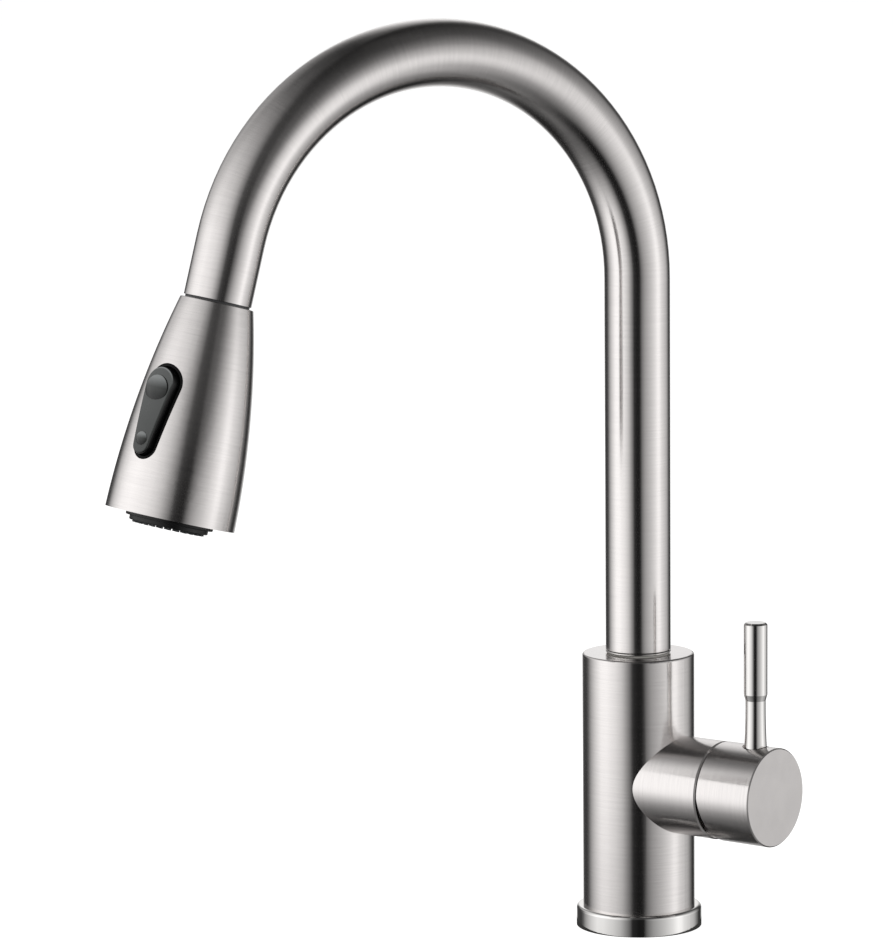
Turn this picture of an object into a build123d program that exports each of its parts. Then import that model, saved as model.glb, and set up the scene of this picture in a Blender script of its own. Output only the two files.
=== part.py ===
from build123d import *
from math import asin, cos, hypot, pi, radians, sin, sqrt, tan
import os

# Pull-down kitchen tap: gooseneck spout on a round body, side lever, spray head on a hose.
#
# Millimetres and degrees. +Z is up and the origin is the centre of the base on the worktop. The handle's
# axis points along +X, and the user stands on the -Y side. The spray head's own frame has its z down the
# head's axis from the seam with the spout, and its x towards the button.

# ---------------------------------------------------------------- driving dimensions
# Running and fitting clearances, on the radius
RUNNING = 0.1
EASY = 0.2
PRESSED = 0.05

# Spout: a tube that rises on the Z axis, bends over and leans out to the spray head
TUBE_R = 14.0
TUBE_WALL = 1.2
BEND_R = 98.25          # of the centre line
BEND_Z = 280.8          # height of the bend's centre
BEND_TURN = 165.2
TAIL = 25.7             # straight tube between the bend and the head
SWING = 22.5            # where the spout points at rest, from -Y towards -X

# Spray hose
HOSE_R = 5.25
HOSE_BORE_R = 3.25
HOSE_CLEARANCE = 0.65
HOSE_OUT = 8.0          # how far it shows below the shank

# Body and base
BODY_OVER_BOSS = 3.1    # how much wider the body is than the side boss, on the radius
BODY_WALL = 2.0
BODY_TOP = 119.2
BODY_EDGE = 1.0
TOP_PLATE = 4.0
FLANGE_LEDGE = 2.9      # around the body
FLANGE_HEIGHT = 9.0
FLANGE_FLOOR = 3.0      # the body stands on it
FLANGE_EDGE = 1.6
GASKET_WIDTH = 4.0
GASKET_THICKNESS = 1.5

# Fixing through the worktop
SHANK_WALL = 1.6
SHANK_BELOW = 58.0      # under the worktop's surface
SHANK_GRIP = 12.0       # screwed into the valve block
THREAD_PITCH = 1.5
THREAD_DEPTH = 0.8
THREAD_START = 3.0      # below the worktop's surface
WORKTOP = 30.0          # thickness clamped
WASHER_WIDTH = 9.8
RUBBER_WASHER = 3.0     # thickness
STEEL_WASHER = 2.0
NUT_WALL = 6.0          # from the thread to the flats
NUT_HEIGHT = 10.0
NUT_BEVEL = 2.0

# Ports and drillings in the valve block; the ports stand on an arc around the hose
PORT_R = 4.0            # M8 x 1
PORT_DEPTH = 12.0
PORT_SPREAD = 60.0      # from the outlet to the hot and to the cold port
PORT_WEB = 1.0          # metal between port and hose channel
PORT_ROOM = 0.5         # between port and shank
DRILLING_R = 2.0
DRILLING_WEB = 1.2      # metal between drilling and hose channel
SEAT_WALL = 1.9         # metal between drilling and cartridge seat
DRILLING_OVERLAP = 3.0  # of a drilling with its port
BLOCK_BASE = 3.0        # above the ports
BLOCK_WALL = 2.5        # around the hose channel
BLOCK_HALF = 16.0       # half width of its upper part
BLOCK_ABOVE = 12.0      # over the handle's axis

# Mixer cartridge, along the handle's axis
HANDLE_Z = 63.9
CARTRIDGE_R = 17.5
CARTRIDGE_WALL = 2.3
CARTRIDGE_ROOF = 2.0
SHOULDER_WIDTH = 2.9
NECK_LENGTH = 3.5
NECK_WALL = 1.5
WAY_OUT = 7.5           # outlet way, below the cartridge's axis
WAY_SIDE = 7.0          # inlet ways, beside it
WAY_UP = 4.0            # inlet ways, above it
SEAL_THICKNESS = 1.2
SEAL_PROUD = 0.3
SEAL_WALL = 1.3
PLATE_THICKNESS = 3.0
DISC_THICKNESS = 3.0
DISC_ROOM = 3.7         # around the moving disc
DISC_POCKET = 1.5       # depth
POCKET_LENGTH = 8.0     # between its round ends
POCKET_WIDTH = 5.0
POCKET_SEAL = 0.3       # from the pocket's round middle to the inlet ways
DRIVER_THICKNESS = 3.7
DRIVER_FLOOR = 0.3
DRIVER_GAP = 0.3
FINGER_R = 2.3          # of its ball
PIVOT_DEPTH = 4.7       # of the pivot in its guide
PIVOT_R = 1.5
PIVOT_COVER = 5.0       # from the pivot to the cartridge's shoulder
SLOT_WALL = 3.5
STEM_SIDE = 8.0
STEM_SHOULDER = 3.6     # from the pivot to the end of the square; clears the disc driver when tipped
STEM_GAP = 0.3          # from the stem's end to the lever's stud
LIFT = 20.0             # how far the lever tips outwards

# Side boss, cartridge nut and bonnet
BOSS_WALL = 3.35
BOSS_LIP = 0.7          # beyond the bonnet
BOSS_EDGE = 0.6
NUT_THICKNESS = 5.5
NOTCHES = 6
NOTCH_DEPTH = 1.6
NOTCH_WIDTH = 3.0
BONNET_THICKNESS = 1.6
BONNET_EDGE = 0.4

# Handle
HUB_OVER_BOSS = 0.1
HUB_GAP = 1.0           # between boss and hub
HUB_LENGTH = 26.2
HUB_CUT = 3.8           # how far the lower rear edge is cut back
HUB_WALL = 1.8
HUB_RIM = 9.0           # depth of the thin rear rim
HUB_RIM_WALL = 0.9
HUB_FACE = 1.6
HUB_EDGE = 0.5
CORE_R = 8.5            # solid middle that takes the stem
CORE_GAP = 3.7          # behind it, from the rear face
LEVER_FROM_END = 10.2   # its axis, from the hub's end
LEVER_R = 5.03
LEVER_TOP = 138.0
LEVER_EDGE = 0.8
LEVER_NECK_R = 4.3
LEVER_FOOT_R = 4.85
CONE_TOP = 107.3
CONE_LENGTH = 2.6
STUD_R = 3.0
STUD_LENGTH = 9.0
LEVER_RECESS_R = 5.6
LEVER_RECESS = 1.3
PILLAR_WALL = 1.5
SET_SCREW_R = 2.5
SET_SCREW_LENGTH = 5.0
SET_SCREW_KEY = 2.5     # hexagon, across flats
SET_SCREW_FROM_END = 4.5
PLUG_STEP = 0.7         # how much wider the cover plug is
HUB_PLUG = 2.5          # its thickness

# Spout's bearing in the body's top
FOOT_STEP = 1.3         # under the tube's bore
FOOT_WALL = 4.0
FOOT_IN_TUBE = 17.0
FOOT_BELOW = 5.0        # under the bearing
BEARING_LENGTH = 19.2   # below the body's top
BEARING_WALL = 1.9
BEARING_FLANGE_WIDTH = 2.5
BEARING_FLANGE = 3.0
BEARING_PROUD = 0.5
RING_HEIGHT = 0.8
RING_GAP = 0.05
RING_EDGE = 0.2
FOOT_WASHER = 0.4
WASHER_INSET = 0.7
O_RING_R = 0.95
O_RINGS_UP = (6.0, 10.5)   # from the bearing's bottom
CLIP_WIDTH = 2.6
CLIP_GROOVE = 1.1
CLIP_THICKNESS = 1.2
CLIP_GAP = 6.0

# Dock in the spout's end
SEAM_GAP = 1.0
COLLAR_LENGTH = 18.0
COLLAR_GUIDE = 5.0      # length of the part that guides the hose
COLLAR_WALL = 2.2
COLLAR_INSET = 0.7
PLUG_WALL = 2.8
PLUG_TAPER = 0.6
PLUG_STRAIGHT = 3.0
PLUG_LENGTH = 11.5
PLUG_FLANGE = 2.1

# Spray head's shell (z down from the seam)
HEAD_OVER_TUBE = 1.1    # how much wider its top is than the tube, on the radius
HEAD_RIM_R = 26.7
HEAD_BULGE = 2.66       # of the side, beyond a straight cone
HEAD_LENGTH = 89.2
HEAD_WALL = 1.2
HEAD_TOP_PLATE = 1.5
HEAD_EDGE = 0.4
BUTTON_TURN = -23.3     # of the button about the head's axis, from straight outwards

# Hose end, swivel and inlet
FERRULE_WALL = 1.5
FERRULE_TOP = -9.0
FERRULE_BOTTOM = 5.5
FERRULE_GROOVES = (3.0, 6.5, 10.0)   # from its top
FERRULE_GROOVE = 0.5
NIPPLE_FLANGE = 2.15    # beyond the ferrule
NIPPLE_NECK = 2.0       # from the ferrule to the flange
NIPPLE_COLLAR = 3.0     # thickness of the flange
NIPPLE_WALL = 0.95
BARB_LENGTH = 11.5
BARB_TAPER = 0.4
SWIVEL_NUT_WALL = 1.3
SWIVEL_NUT_LENGTH = 8.6
SEAL_WASHER = 2.5
FILTER_THICKNESS = 0.8
FILTER_HOLE_R = 0.7
FILTER_RINGS = ((0.0, 1), (2.2, 6), (4.4, 12))   # radius and number of holes
VALVE_INSET = 1.5       # the non-return valve, inside the nipple's flange
VALVE_WALL = 1.6
VALVE_LENGTH = 9.2
SPIDER_DEPTH = 4.0
SPIDER_THICKNESS = 1.5
SPIDER_HOLE_R = 3.6
SPIDER_ARM = 1.4
POPPET_R = 3.4
POPPET_STEM_R = 1.2

# Core of the head, with its waterways
CORE_INSET = 0.7        # inside the shell's top
CORE_STEP = 2.2         # from its wide head to its middle
CHAMBER_INSET = 5.7     # from the rim
CHAMBER_WALL = 2.0
CHAMBER_DEPTH = 11.0
CHAMBER_CONE = 8.0
CHAMBER_ROOF = 2.0
WATERWAY_R = 2.0
SPOOL_WALL = 2.0        # of the core, outside the spool's bore
SPOOL_R = 3.9
SPOOL_LENGTH = 18.0
SPOOL_GROOVE = 3.2
SPOOL_WAIST_R = 1.5
SPOOL_RING_INSET = 2.5  # O-rings, from the spool's ends
SPOOL_RING_R = 0.5
SPOOL_ROOM = 2.0
LEG_R = 1.2
LEG_ROOM = 2.8          # of its slot in the core, beyond its travel
LEG_DEPTH = 1.6         # its end, from the spool's axis

# Button in the head's side
OPENING_ABOVE_RIM = 21.5
OPENING_LENGTH = 39.8
OPENING_BIG_R = 8.7
OPENING_SMALL_R = 5.8
BEZEL_LIP = 1.2
BEZEL_SUNK = 0.15
BEZEL_EDGE = 2.2
BEZEL_THICKNESS = 3.5
BUTTON_GAP = 0.75
BUTTON_PROUD = 3.2
BUTTON_EDGE = 0.8       # rounding of its face
BUTTON_SKIN = 3.2       # how far the button reaches in under the shell's surface
PRESS = 4.0             # tilt of the rocker each way
ROCKER_DEPTH = 6.7      # of its pin, under the shell's surface
ROCKER_PIN_R = 1.0
ROCKER_LUG = 2.6
ROCKER_LUG_HALF = 4.0
BIG_DOME_R = 5.5
BIG_DOME_HEIGHT = 2.0
BIG_DOME_DOWN = 2.2     # from the middle of the outline's large end
SMALL_DOME_R = 2.8
SMALL_DOME_HEIGHT = 1.3
SMALL_DOME_UP = 2.3     # from the middle of the outline's small end
DOME_ROOT = 1.5

# Spray face
FACE_RECESS = 1.0
FACE_THICKNESS = 2.0
FACE_SHELF = 1.0        # over the face ring
FACE_CLEARANCE = 0.15
FACE_EDGE = 0.4
FACE_SKIRT = 8.0        # screwed on the core
FACE_SKIRT_WALL = 1.75
FACE_O_RING_R = 0.7
NOZZLE_INSET = 3.0      # from the core's outside
NOZZLE_TREAD = 1.8      # width of its step
NOZZLE_PROUD = 1.6      # below the rim, to the step
NOZZLE_STEP = 1.8
NOZZLE_WALL = 1.6
NOZZLE_LIP = 1.8
NOZZLE_LIP_INSET = 0.5
NOZZLE_EDGE = 0.3
MAT_THICKNESS = 1.2
NUB_R = 0.9
NUB_BORE_R = 0.4
NUB_PROUD = 0.8
NUB_MARGIN = 2.3        # outer ring of nubs, from the plate's edge
NUB_SPACING = 3.0       # from ring to ring
NUB_PITCH = 3.4         # along a ring, about
AERATOR_R = 8.0
AERATOR_MARGIN = 2.0    # least distance to the inner ring of nubs
AERATOR_WALL = 1.4
AERATOR_LIP = 0.5
AERATOR_LIP_HEIGHT = 0.8
AERATOR_RECESS = 0.4
AERATOR_LENGTH = 12.0
SCREEN_THICKNESS = 0.8
MESH_HOLE_R = 0.55
MESH_PITCH = 1.6

# ---------------------------------------------------------------- derived sizes
# Cartridge, boss, body and flange, from the inside outwards
BOSS_BORE_R = CARTRIDGE_R + PRESSED + RUNNING
BOSS_R = BOSS_BORE_R + BOSS_WALL
BODY_R = BOSS_R + BODY_OVER_BOSS
BODY_BORE_R = BODY_R - BODY_WALL
FLANGE_R = BODY_R + FLANGE_LEDGE
CARTRIDGE_BORE_R = CARTRIDGE_R - CARTRIDGE_WALL
NECK_R = CARTRIDGE_R - SHOULDER_WIDTH
GUIDE_R = NECK_R - NECK_WALL - RUNNING
MOVING_DISC_R = CARTRIDGE_BORE_R - DISC_ROOM

# Hose channel, ports and shank
CHANNEL_R = HOSE_R + HOSE_CLEARANCE
PORT_CIRCLE = CHANNEL_R + PORT_WEB + PORT_R
SHANK_BORE_R = PORT_CIRCLE + PORT_R + PORT_ROOM
SHANK_R = SHANK_BORE_R + SHANK_WALL
SOCKET_TOP = FLANGE_FLOOR + SHANK_GRIP
PORT_TOP = SOCKET_TOP + PORT_DEPTH
BLOCK_TOP = HANDLE_Z + BLOCK_ABOVE
GASKET_R = (SHANK_R + FLANGE_R) / 2
WASHER_R = SHANK_R + EASY + WASHER_WIDTH

# Stations along the handle's axis, from the body's axis outwards
RISER_X = CHANNEL_R + DRILLING_WEB + DRILLING_R
SEAT_X = RISER_X + DRILLING_R + SEAT_WALL
PLATE_X = SEAT_X + SEAL_PROUD
FIXED_X = PLATE_X + PLATE_THICKNESS
MOVING_X = FIXED_X + DISC_THICKNESS
DRIVER_X = MOVING_X + DISC_THICKNESS
BALL_X = DRIVER_X + DRIVER_FLOOR + FINGER_R
GUIDE_X = DRIVER_X + DRIVER_THICKNESS + DRIVER_GAP
PIVOT_X = GUIDE_X + PIVOT_DEPTH
DRIVER_ARM = PIVOT_X - BALL_X
CARTRIDGE_SHOULDER = PIVOT_X + PIVOT_COVER
CARTRIDGE_END = CARTRIDGE_SHOULDER + NECK_LENGTH
NUT_FACE = CARTRIDGE_SHOULDER + NUT_THICKNESS
BONNET_FACE = NUT_FACE + BONNET_THICKNESS
BONNET_HOLE_R = STEM_SIDE / sqrt(2) + (BONNET_FACE - PIVOT_X) * tan(radians(LIFT))
BOSS_END = BONNET_FACE + BOSS_LIP
HUB_R = BOSS_R + HUB_OVER_BOSS
HUB_REAR = BOSS_END + HUB_GAP
HUB_END = HUB_REAR + HUB_LENGTH
LEVER_X = HUB_END - LEVER_FROM_END
STEM_END = LEVER_X - STUD_R - STEM_GAP
SET_SCREW_X = STEM_END - SET_SCREW_FROM_END
LEVER_SEAT = HANDLE_Z + HUB_R - LEVER_RECESS

# Heights at the spout's bearing
TUBE_BORE_R = TUBE_R - TUBE_WALL
FOOT_R = TUBE_BORE_R - FOOT_STEP
FOOT_BORE_R = FOOT_R - FOOT_WALL
BEARING_BORE_R = FOOT_R + RUNNING
BEARING_R = BEARING_BORE_R + BEARING_WALL
BEARING_BOTTOM = BODY_TOP - BEARING_LENGTH
BEARING_TOP = BODY_TOP + BEARING_PROUD
CLIP_TOP = BEARING_BOTTOM - RUNNING
CLIP_BOTTOM = CLIP_TOP - CLIP_THICKNESS
FOOT_BOTTOM = BEARING_BOTTOM - FOOT_BELOW
O_RING_HEIGHTS = [BEARING_BOTTOM + up for up in O_RINGS_UP]
RING_BOTTOM = BEARING_TOP + RING_GAP
RING_TOP = RING_BOTTOM + RING_HEIGHT
TUBE_BOTTOM = RING_TOP + FOOT_WASHER

# Dock and hose end
COLLAR_SOCKET_R = TUBE_BORE_R - COLLAR_WALL
PLUG_R = COLLAR_SOCKET_R - EASY
PLUG_BORE_R = PLUG_R - PLUG_WALL
FERRULE_R = HOSE_R + RUNNING + FERRULE_WALL
BARB_R = HOSE_BORE_R - RUNNING
NIPPLE_BORE_R = BARB_R - NIPPLE_WALL
NIPPLE_R = FERRULE_R + NIPPLE_FLANGE
NIPPLE_TOP = FERRULE_BOTTOM + NIPPLE_NECK
NIPPLE_END = NIPPLE_TOP + NIPPLE_COLLAR
SWIVEL_NUT_R = NIPPLE_R + RUNNING + SWIVEL_NUT_WALL
SEAT_Z = NIPPLE_END + SEAL_WASHER
VALVE_R = NIPPLE_R - VALVE_INSET
VALVE_Z = SEAT_Z + FILTER_THICKNESS
VALVE_END = VALVE_Z + VALVE_LENGTH

# Head
HEAD_TOP_R = TUBE_R + HEAD_OVER_TUBE
CORE_TOP = HEAD_TOP_PLATE + PLUG_FLANGE
CORE_HEAD_R = HEAD_TOP_R - HEAD_WALL - CORE_INSET
CORE_MIDDLE_R = CORE_HEAD_R - CORE_STEP
CHAMBER_R = HEAD_RIM_R - CHAMBER_INSET
SPOOL_X = CORE_MIDDLE_R - SPOOL_WALL - RUNNING - SPOOL_R
OPENING_END = HEAD_LENGTH - OPENING_ABOVE_RIM
OPENING_TOP = OPENING_END - OPENING_LENGTH
BIG_END_Z = OPENING_TOP + OPENING_BIG_R
SMALL_END_Z = OPENING_END - OPENING_SMALL_R
BUTTON_Z = (BIG_END_Z + SMALL_END_Z) / 2

# Spray face, from the rim upwards and downwards
FACE_BOTTOM = HEAD_LENGTH - FACE_RECESS
FACE_TOP = FACE_BOTTOM - FACE_THICKNESS
SHELF_Z = FACE_TOP - FACE_SHELF
LIP_TOP = SHELF_Z - NOZZLE_LIP
CHAMBER_BOTTOM = LIP_TOP - 2 * FACE_O_RING_R
CHAMBER_TOP = CHAMBER_BOTTOM - CHAMBER_DEPTH
NOZZLE_R = CHAMBER_R - NOZZLE_INSET
NOZZLE_STEP_R = NOZZLE_R - NOZZLE_TREAD
NOZZLE_MIDDLE = HEAD_LENGTH + NOZZLE_PROUD
NOZZLE_BOTTOM = NOZZLE_MIDDLE + NOZZLE_STEP
NOZZLE_FLOOR = NOZZLE_BOTTOM - NOZZLE_WALL
NUB_OUTER_R = NOZZLE_STEP_R - NUB_MARGIN
NUB_RING_COUNT = 1 + int((NUB_OUTER_R - AERATOR_R - AERATOR_MARGIN) / NUB_SPACING)
NUB_RADII = [NUB_OUTER_R - i * NUB_SPACING for i in range(NUB_RING_COUNT)]
NUB_RINGS = [(radius, round(2 * pi * radius / NUB_PITCH)) for radius in NUB_RADII]
AERATOR_TOP = NOZZLE_BOTTOM - AERATOR_LENGTH
AERATOR_FLOOR = NOZZLE_BOTTOM - AERATOR_RECESS
AERATOR_BORE_R = AERATOR_R - AERATOR_WALL

# ---------------------------------------------------------------- frames
OUTWARD = Vector(-sin(radians(SWING)), -cos(radians(SWING)), 0)
UP = Vector(0, 0, 1)
HEAD_AXIS = OUTWARD * sin(radians(BEND_TURN)) + UP * cos(radians(BEND_TURN))
BEND_START = UP * BEND_Z
BEND_REACH = BEND_R * (1 - cos(radians(BEND_TURN)))
BEND_END = BEND_START + OUTWARD * BEND_REACH + UP * (BEND_R * sin(radians(BEND_TURN)))
SEAM = BEND_END + HEAD_AXIS * TAIL
HEAD_FRONT = (OUTWARD - HEAD_AXIS * OUTWARD.dot(HEAD_AXIS)).normalized()
BUTTON_DIRECTION = HEAD_FRONT.rotate(Axis((0, 0, 0), HEAD_AXIS), BUTTON_TURN)

HEAD = Plane(origin=SEAM, x_dir=BUTTON_DIRECTION, z_dir=HEAD_AXIS)
HANDLE = Plane(origin=(0, 0, HANDLE_Z), x_dir=(0, 1, 0), z_dir=(1, 0, 0))   # its z is +X and its y is +Z


# ---------------------------------------------------------------- helpers
def lathe(*outline):
    """Solid of revolution about Z from a closed outline of (radius, z) points."""
    face = Plane.XZ * make_face(Polyline(*outline, close=True))
    return revolve(face, Axis.Z)


def rod(radius, bottom, top):
    return Pos(0, 0, bottom) * Cylinder(radius, top - bottom, align=(Align.CENTER, Align.CENTER, Align.MIN))


def ring(outer, inner, bottom, top):
    return lathe((inner, bottom), (outer, bottom), (outer, top), (inner, top))


def torus(mean, section, height):
    return Pos(0, 0, height) * Torus(mean, section)


def block(x, y, z):
    """Box from three (low, high) pairs."""
    return Pos(x[0], y[0], z[0]) * Box(x[1] - x[0], y[1] - y[0], z[1] - z[0], align=(Align.MIN,) * 3)


def pin(radius, length):
    """Cylinder along Y, centred on the origin."""
    return Rot(90, 0, 0) * Cylinder(radius, length)


def along_handle(shape):
    return HANDLE.location * shape


def in_head(shape):
    return HEAD.location * shape


def circle_of_holes(radius, count, hole_r, bottom, top):
    return [Rot(0, 0, 360 * i / count) * Pos(radius, 0, 0) * rod(hole_r, bottom, top) for i in range(count)]


# ---------------------------------------------------------------- head's side
HEAD_SIDE = ThreePointArc(
    (HEAD_TOP_R, 0), ((HEAD_TOP_R + HEAD_RIM_R) / 2 + HEAD_BULGE, HEAD_LENGTH / 2), (HEAD_RIM_R, HEAD_LENGTH)
)


def head_radius(z):
    """Outer radius of the head at z."""
    centre = HEAD_SIDE.arc_center
    return centre.X + sqrt(HEAD_SIDE.radius**2 - (z - centre.Y) ** 2)


ROCKER_X = head_radius(BUTTON_Z) - ROCKER_DEPTH
LEG_TRAVEL = (ROCKER_X - SPOOL_X) * sin(radians(PRESS))


def head_solid(offset, top, bottom):
    """Round solid whose side stands off the head's side by offset."""
    middle = (top + bottom) / 2
    upper, waist, lower = [(head_radius(z) + offset, z) for z in (top, middle, bottom)]
    side = ThreePointArc(upper, waist, lower)
    ends = Polyline(lower, (0, bottom), (0, top), upper)
    return revolve(Plane.XZ * make_face(side + ends), Axis.Z)


def teardrop(grow):
    """Button outline in the head's YZ plane, grown by a margin, as a prism along the head's x."""
    big, small = OPENING_BIG_R + grow, OPENING_SMALL_R + grow
    lean = asin((big - small) / (SMALL_END_Z - BIG_END_Z))
    sides = [(side * r * cos(lean), z + r * sin(lean)) for side, r, z in
             ((1, big, BIG_END_Z), (1, small, SMALL_END_Z), (-1, small, SMALL_END_Z), (-1, big, BIG_END_Z))]
    outline = make_face(
        Line(sides[0], sides[1])
        + ThreePointArc(sides[1], (0, SMALL_END_Z + small), sides[2])
        + Line(sides[2], sides[3])
        + ThreePointArc(sides[3], (0, BIG_END_Z - big), sides[0])
    )
    across = Plane(origin=(0, 0, 0), x_dir=(0, 1, 0), z_dir=(1, 0, 0))
    return extrude(across * outline, 2 * HEAD_RIM_R)


# ---------------------------------------------------------------- base
def base_flange():
    bore = SHANK_R + EASY
    shoulder = FLANGE_HEIGHT - FLANGE_EDGE
    outline = (
        Line((bore, 0), (FLANGE_R, 0))
        + Line((FLANGE_R, 0), (FLANGE_R, shoulder))
        + RadiusArc((FLANGE_R, shoulder), (FLANGE_R - FLANGE_EDGE, FLANGE_HEIGHT), -FLANGE_EDGE)
        + Polyline(
            (FLANGE_R - FLANGE_EDGE, FLANGE_HEIGHT), (BODY_R, FLANGE_HEIGHT), (BODY_R, FLANGE_FLOOR),
            (bore, FLANGE_FLOOR), (bore, 0),
        )
    )
    return revolve(Plane.XZ * make_face(outline), Axis.Z) - base_gasket()


def base_gasket():
    return ring(GASKET_R + GASKET_WIDTH / 2, GASKET_R - GASKET_WIDTH / 2, 0, GASKET_THICKNESS)


def mounting_shank():
    """Hollow threaded tube; the thread is rings, cut below the base only."""
    root = SHANK_R - THREAD_DEPTH
    outline = [(SHANK_BORE_R, SOCKET_TOP), (SHANK_BORE_R, -SHANK_BELOW), (root, -SHANK_BELOW)]
    z = -SHANK_BELOW
    while z < -THREAD_START:
        outline += [(SHANK_R, z + THREAD_PITCH / 2), (root, z + THREAD_PITCH)]
        z += THREAD_PITCH
    outline += [(SHANK_R, z + THREAD_PITCH / 2), (SHANK_R, SOCKET_TOP)]
    return lathe(*outline)


def rubber_washer():
    return ring(WASHER_R, SHANK_R + EASY, -WORKTOP - RUBBER_WASHER, -WORKTOP)


def steel_washer():
    top = -WORKTOP - RUBBER_WASHER
    return ring(WASHER_R, SHANK_R + EASY, top - STEEL_WASHER, top)


def mounting_nut():
    """Its lower corners are bevelled."""
    top = -WORKTOP - RUBBER_WASHER - STEEL_WASHER
    bottom = top - NUT_HEIGHT
    flat = SHANK_R + NUT_WALL
    corner = flat / cos(radians(30))
    nut = Pos(0, 0, bottom) * extrude(RegularPolygon(flat, 6, major_radius=False), NUT_HEIGHT)
    wide = corner + NUT_BEVEL
    bevel = lathe((0, bottom), (flat, bottom), (wide, bottom + NUT_BEVEL), (wide, top), (0, top))
    return (nut & bevel) - rod(SHANK_R + RUNNING / 5, bottom - 1, top + 1)


# ---------------------------------------------------------------- body
def body_tube():
    roof = BODY_TOP - TOP_PLATE
    inset = BODY_R - BODY_EDGE
    outline = (
        Line((BODY_R, FLANGE_FLOOR), (BODY_R, BODY_TOP - BODY_EDGE))
        + RadiusArc((BODY_R, BODY_TOP - BODY_EDGE), (inset, BODY_TOP), -BODY_EDGE)
        + Polyline(
            (inset, BODY_TOP), (BEARING_R, BODY_TOP), (BEARING_R, roof), (BODY_BORE_R, roof),
            (BODY_BORE_R, FLANGE_FLOOR), (BODY_R, FLANGE_FLOOR),
        )
    )
    tube = revolve(Plane.XZ * make_face(outline), Axis.Z)
    return tube - along_handle(rod(BOSS_BORE_R, 0, BODY_R + 1))


def side_boss():
    boss = lathe(
        (BOSS_BORE_R, 0), (BOSS_R, 0), (BOSS_R, BOSS_END - BOSS_EDGE), (BOSS_R - BOSS_EDGE, BOSS_END),
        (BOSS_BORE_R, BOSS_END),
    )
    return along_handle(boss) - rod(BODY_R, 0, BODY_TOP)


def port_places():
    """Centres of the outlet, cold and hot ports."""
    turns = {"outlet": 0, "cold": PORT_SPREAD, "hot": -PORT_SPREAD}
    return {name: (PORT_CIRCLE * cos(radians(a)), PORT_CIRCLE * sin(radians(a))) for name, a in turns.items()}


def cartridge_ways():
    """(y, z) of the three water ways through the cartridge's seat, from its axis."""
    return {"outlet": (0, -WAY_OUT), "cold": (WAY_SIDE, WAY_UP), "hot": (-WAY_SIDE, WAY_UP)}


def valve_block():
    fit_r = BODY_BORE_R - PRESSED
    skirt = rod(fit_r, FLANGE_FLOOR, PORT_TOP + BLOCK_BASE)
    slab = block((-CHANNEL_R - BLOCK_WALL, fit_r), (-BLOCK_HALF, BLOCK_HALF), (0, BLOCK_TOP))
    body = skirt + (rod(fit_r, PORT_TOP, BLOCK_TOP) & slab)
    body -= rod(SHANK_R, 0, SOCKET_TOP)
    body -= rod(CHANNEL_R, 0, BLOCK_TOP + 1)
    body -= along_handle(rod(BOSS_BORE_R, SEAT_X, BODY_R))
    for name, (x, y) in port_places().items():
        way_y, way_z = cartridge_ways()[name]
        body -= Pos(x, y, 0) * rod(PORT_R, 0, PORT_TOP)
        body -= Pos(RISER_X, way_y, 0) * rod(DRILLING_R, PORT_TOP - DRILLING_OVERLAP, HANDLE_Z + way_z)
        body -= along_handle(Pos(way_y, way_z, 0) * rod(DRILLING_R, RISER_X, SEAT_X + 1))
    return body


# ---------------------------------------------------------------- cartridge
def port_seals():
    seal = ring(DRILLING_R + SEAL_WALL, DRILLING_R, SEAT_X, SEAT_X + SEAL_THICKNESS)
    return [along_handle(Pos(y, z, 0) * seal) for y, z in cartridge_ways().values()]


def cartridge_base():
    plate = rod(CARTRIDGE_R, PLATE_X, FIXED_X)
    for y, z in cartridge_ways().values():
        plate -= Pos(y, z, 0) * rod(DRILLING_R, PLATE_X - 1, FIXED_X + 1)
        plate -= Pos(y, z, 0) * rod(DRILLING_R + SEAL_WALL, PLATE_X - 1, SEAT_X + SEAL_THICKNESS)
    return along_handle(plate)


def cartridge_housing():
    roof = CARTRIDGE_SHOULDER - CARTRIDGE_ROOF
    neck_bore = GUIDE_R + RUNNING
    return along_handle(lathe(
        (CARTRIDGE_BORE_R, FIXED_X), (CARTRIDGE_R, FIXED_X), (CARTRIDGE_R, CARTRIDGE_SHOULDER),
        (NECK_R, CARTRIDGE_SHOULDER), (NECK_R, CARTRIDGE_END), (neck_bore, CARTRIDGE_END),
        (neck_bore, roof), (CARTRIDGE_BORE_R, roof),
    ))


def fixed_disc():
    disc = rod(CARTRIDGE_BORE_R - RUNNING, FIXED_X, MOVING_X)
    for y, z in cartridge_ways().values():
        disc -= Pos(y, z, 0) * rod(DRILLING_R, FIXED_X - 1, MOVING_X + 1)
    return along_handle(disc)


def moving_disc():
    """Its pocket lies over the outlet; it reaches the inlets only once the disc is raised."""
    disc = rod(MOVING_DISC_R, MOVING_X, DRIVER_X)
    slot = Pos(0, POCKET_WIDTH / 2 - WAY_OUT, 0) * SlotCenterToCenter(POCKET_LENGTH, POCKET_WIDTH)
    middle = Circle(hypot(WAY_SIDE, WAY_UP) - DRILLING_R - POCKET_SEAL)
    return along_handle(disc - Pos(0, 0, MOVING_X) * extrude(slot + middle, DISC_POCKET))


def disc_driver():
    end = DRIVER_X + DRIVER_THICKNESS
    hole = rod(FINGER_R + RUNNING, DRIVER_X + DRIVER_FLOOR, end + 1)
    return along_handle(rod(MOVING_DISC_R - EASY, DRIVER_X, end) - hole)


def stem_guide():
    """Turntable in the cartridge; the stem tips in its slot."""
    flange_end = CARTRIDGE_SHOULDER - CARTRIDGE_ROOF - RUNNING
    body = rod(CARTRIDGE_BORE_R - RUNNING, GUIDE_X, flange_end)
    body += rod(GUIDE_R, flange_end, CARTRIDGE_END - EASY)
    half_width = STEM_SIDE / 2 + EASY
    half_length = GUIDE_R - SLOT_WALL
    slot = block((-half_width, half_width), (-half_length, half_length), (GUIDE_X - 1, CARTRIDGE_END))
    return along_handle(body - slot) - pivot_pin()


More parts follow.
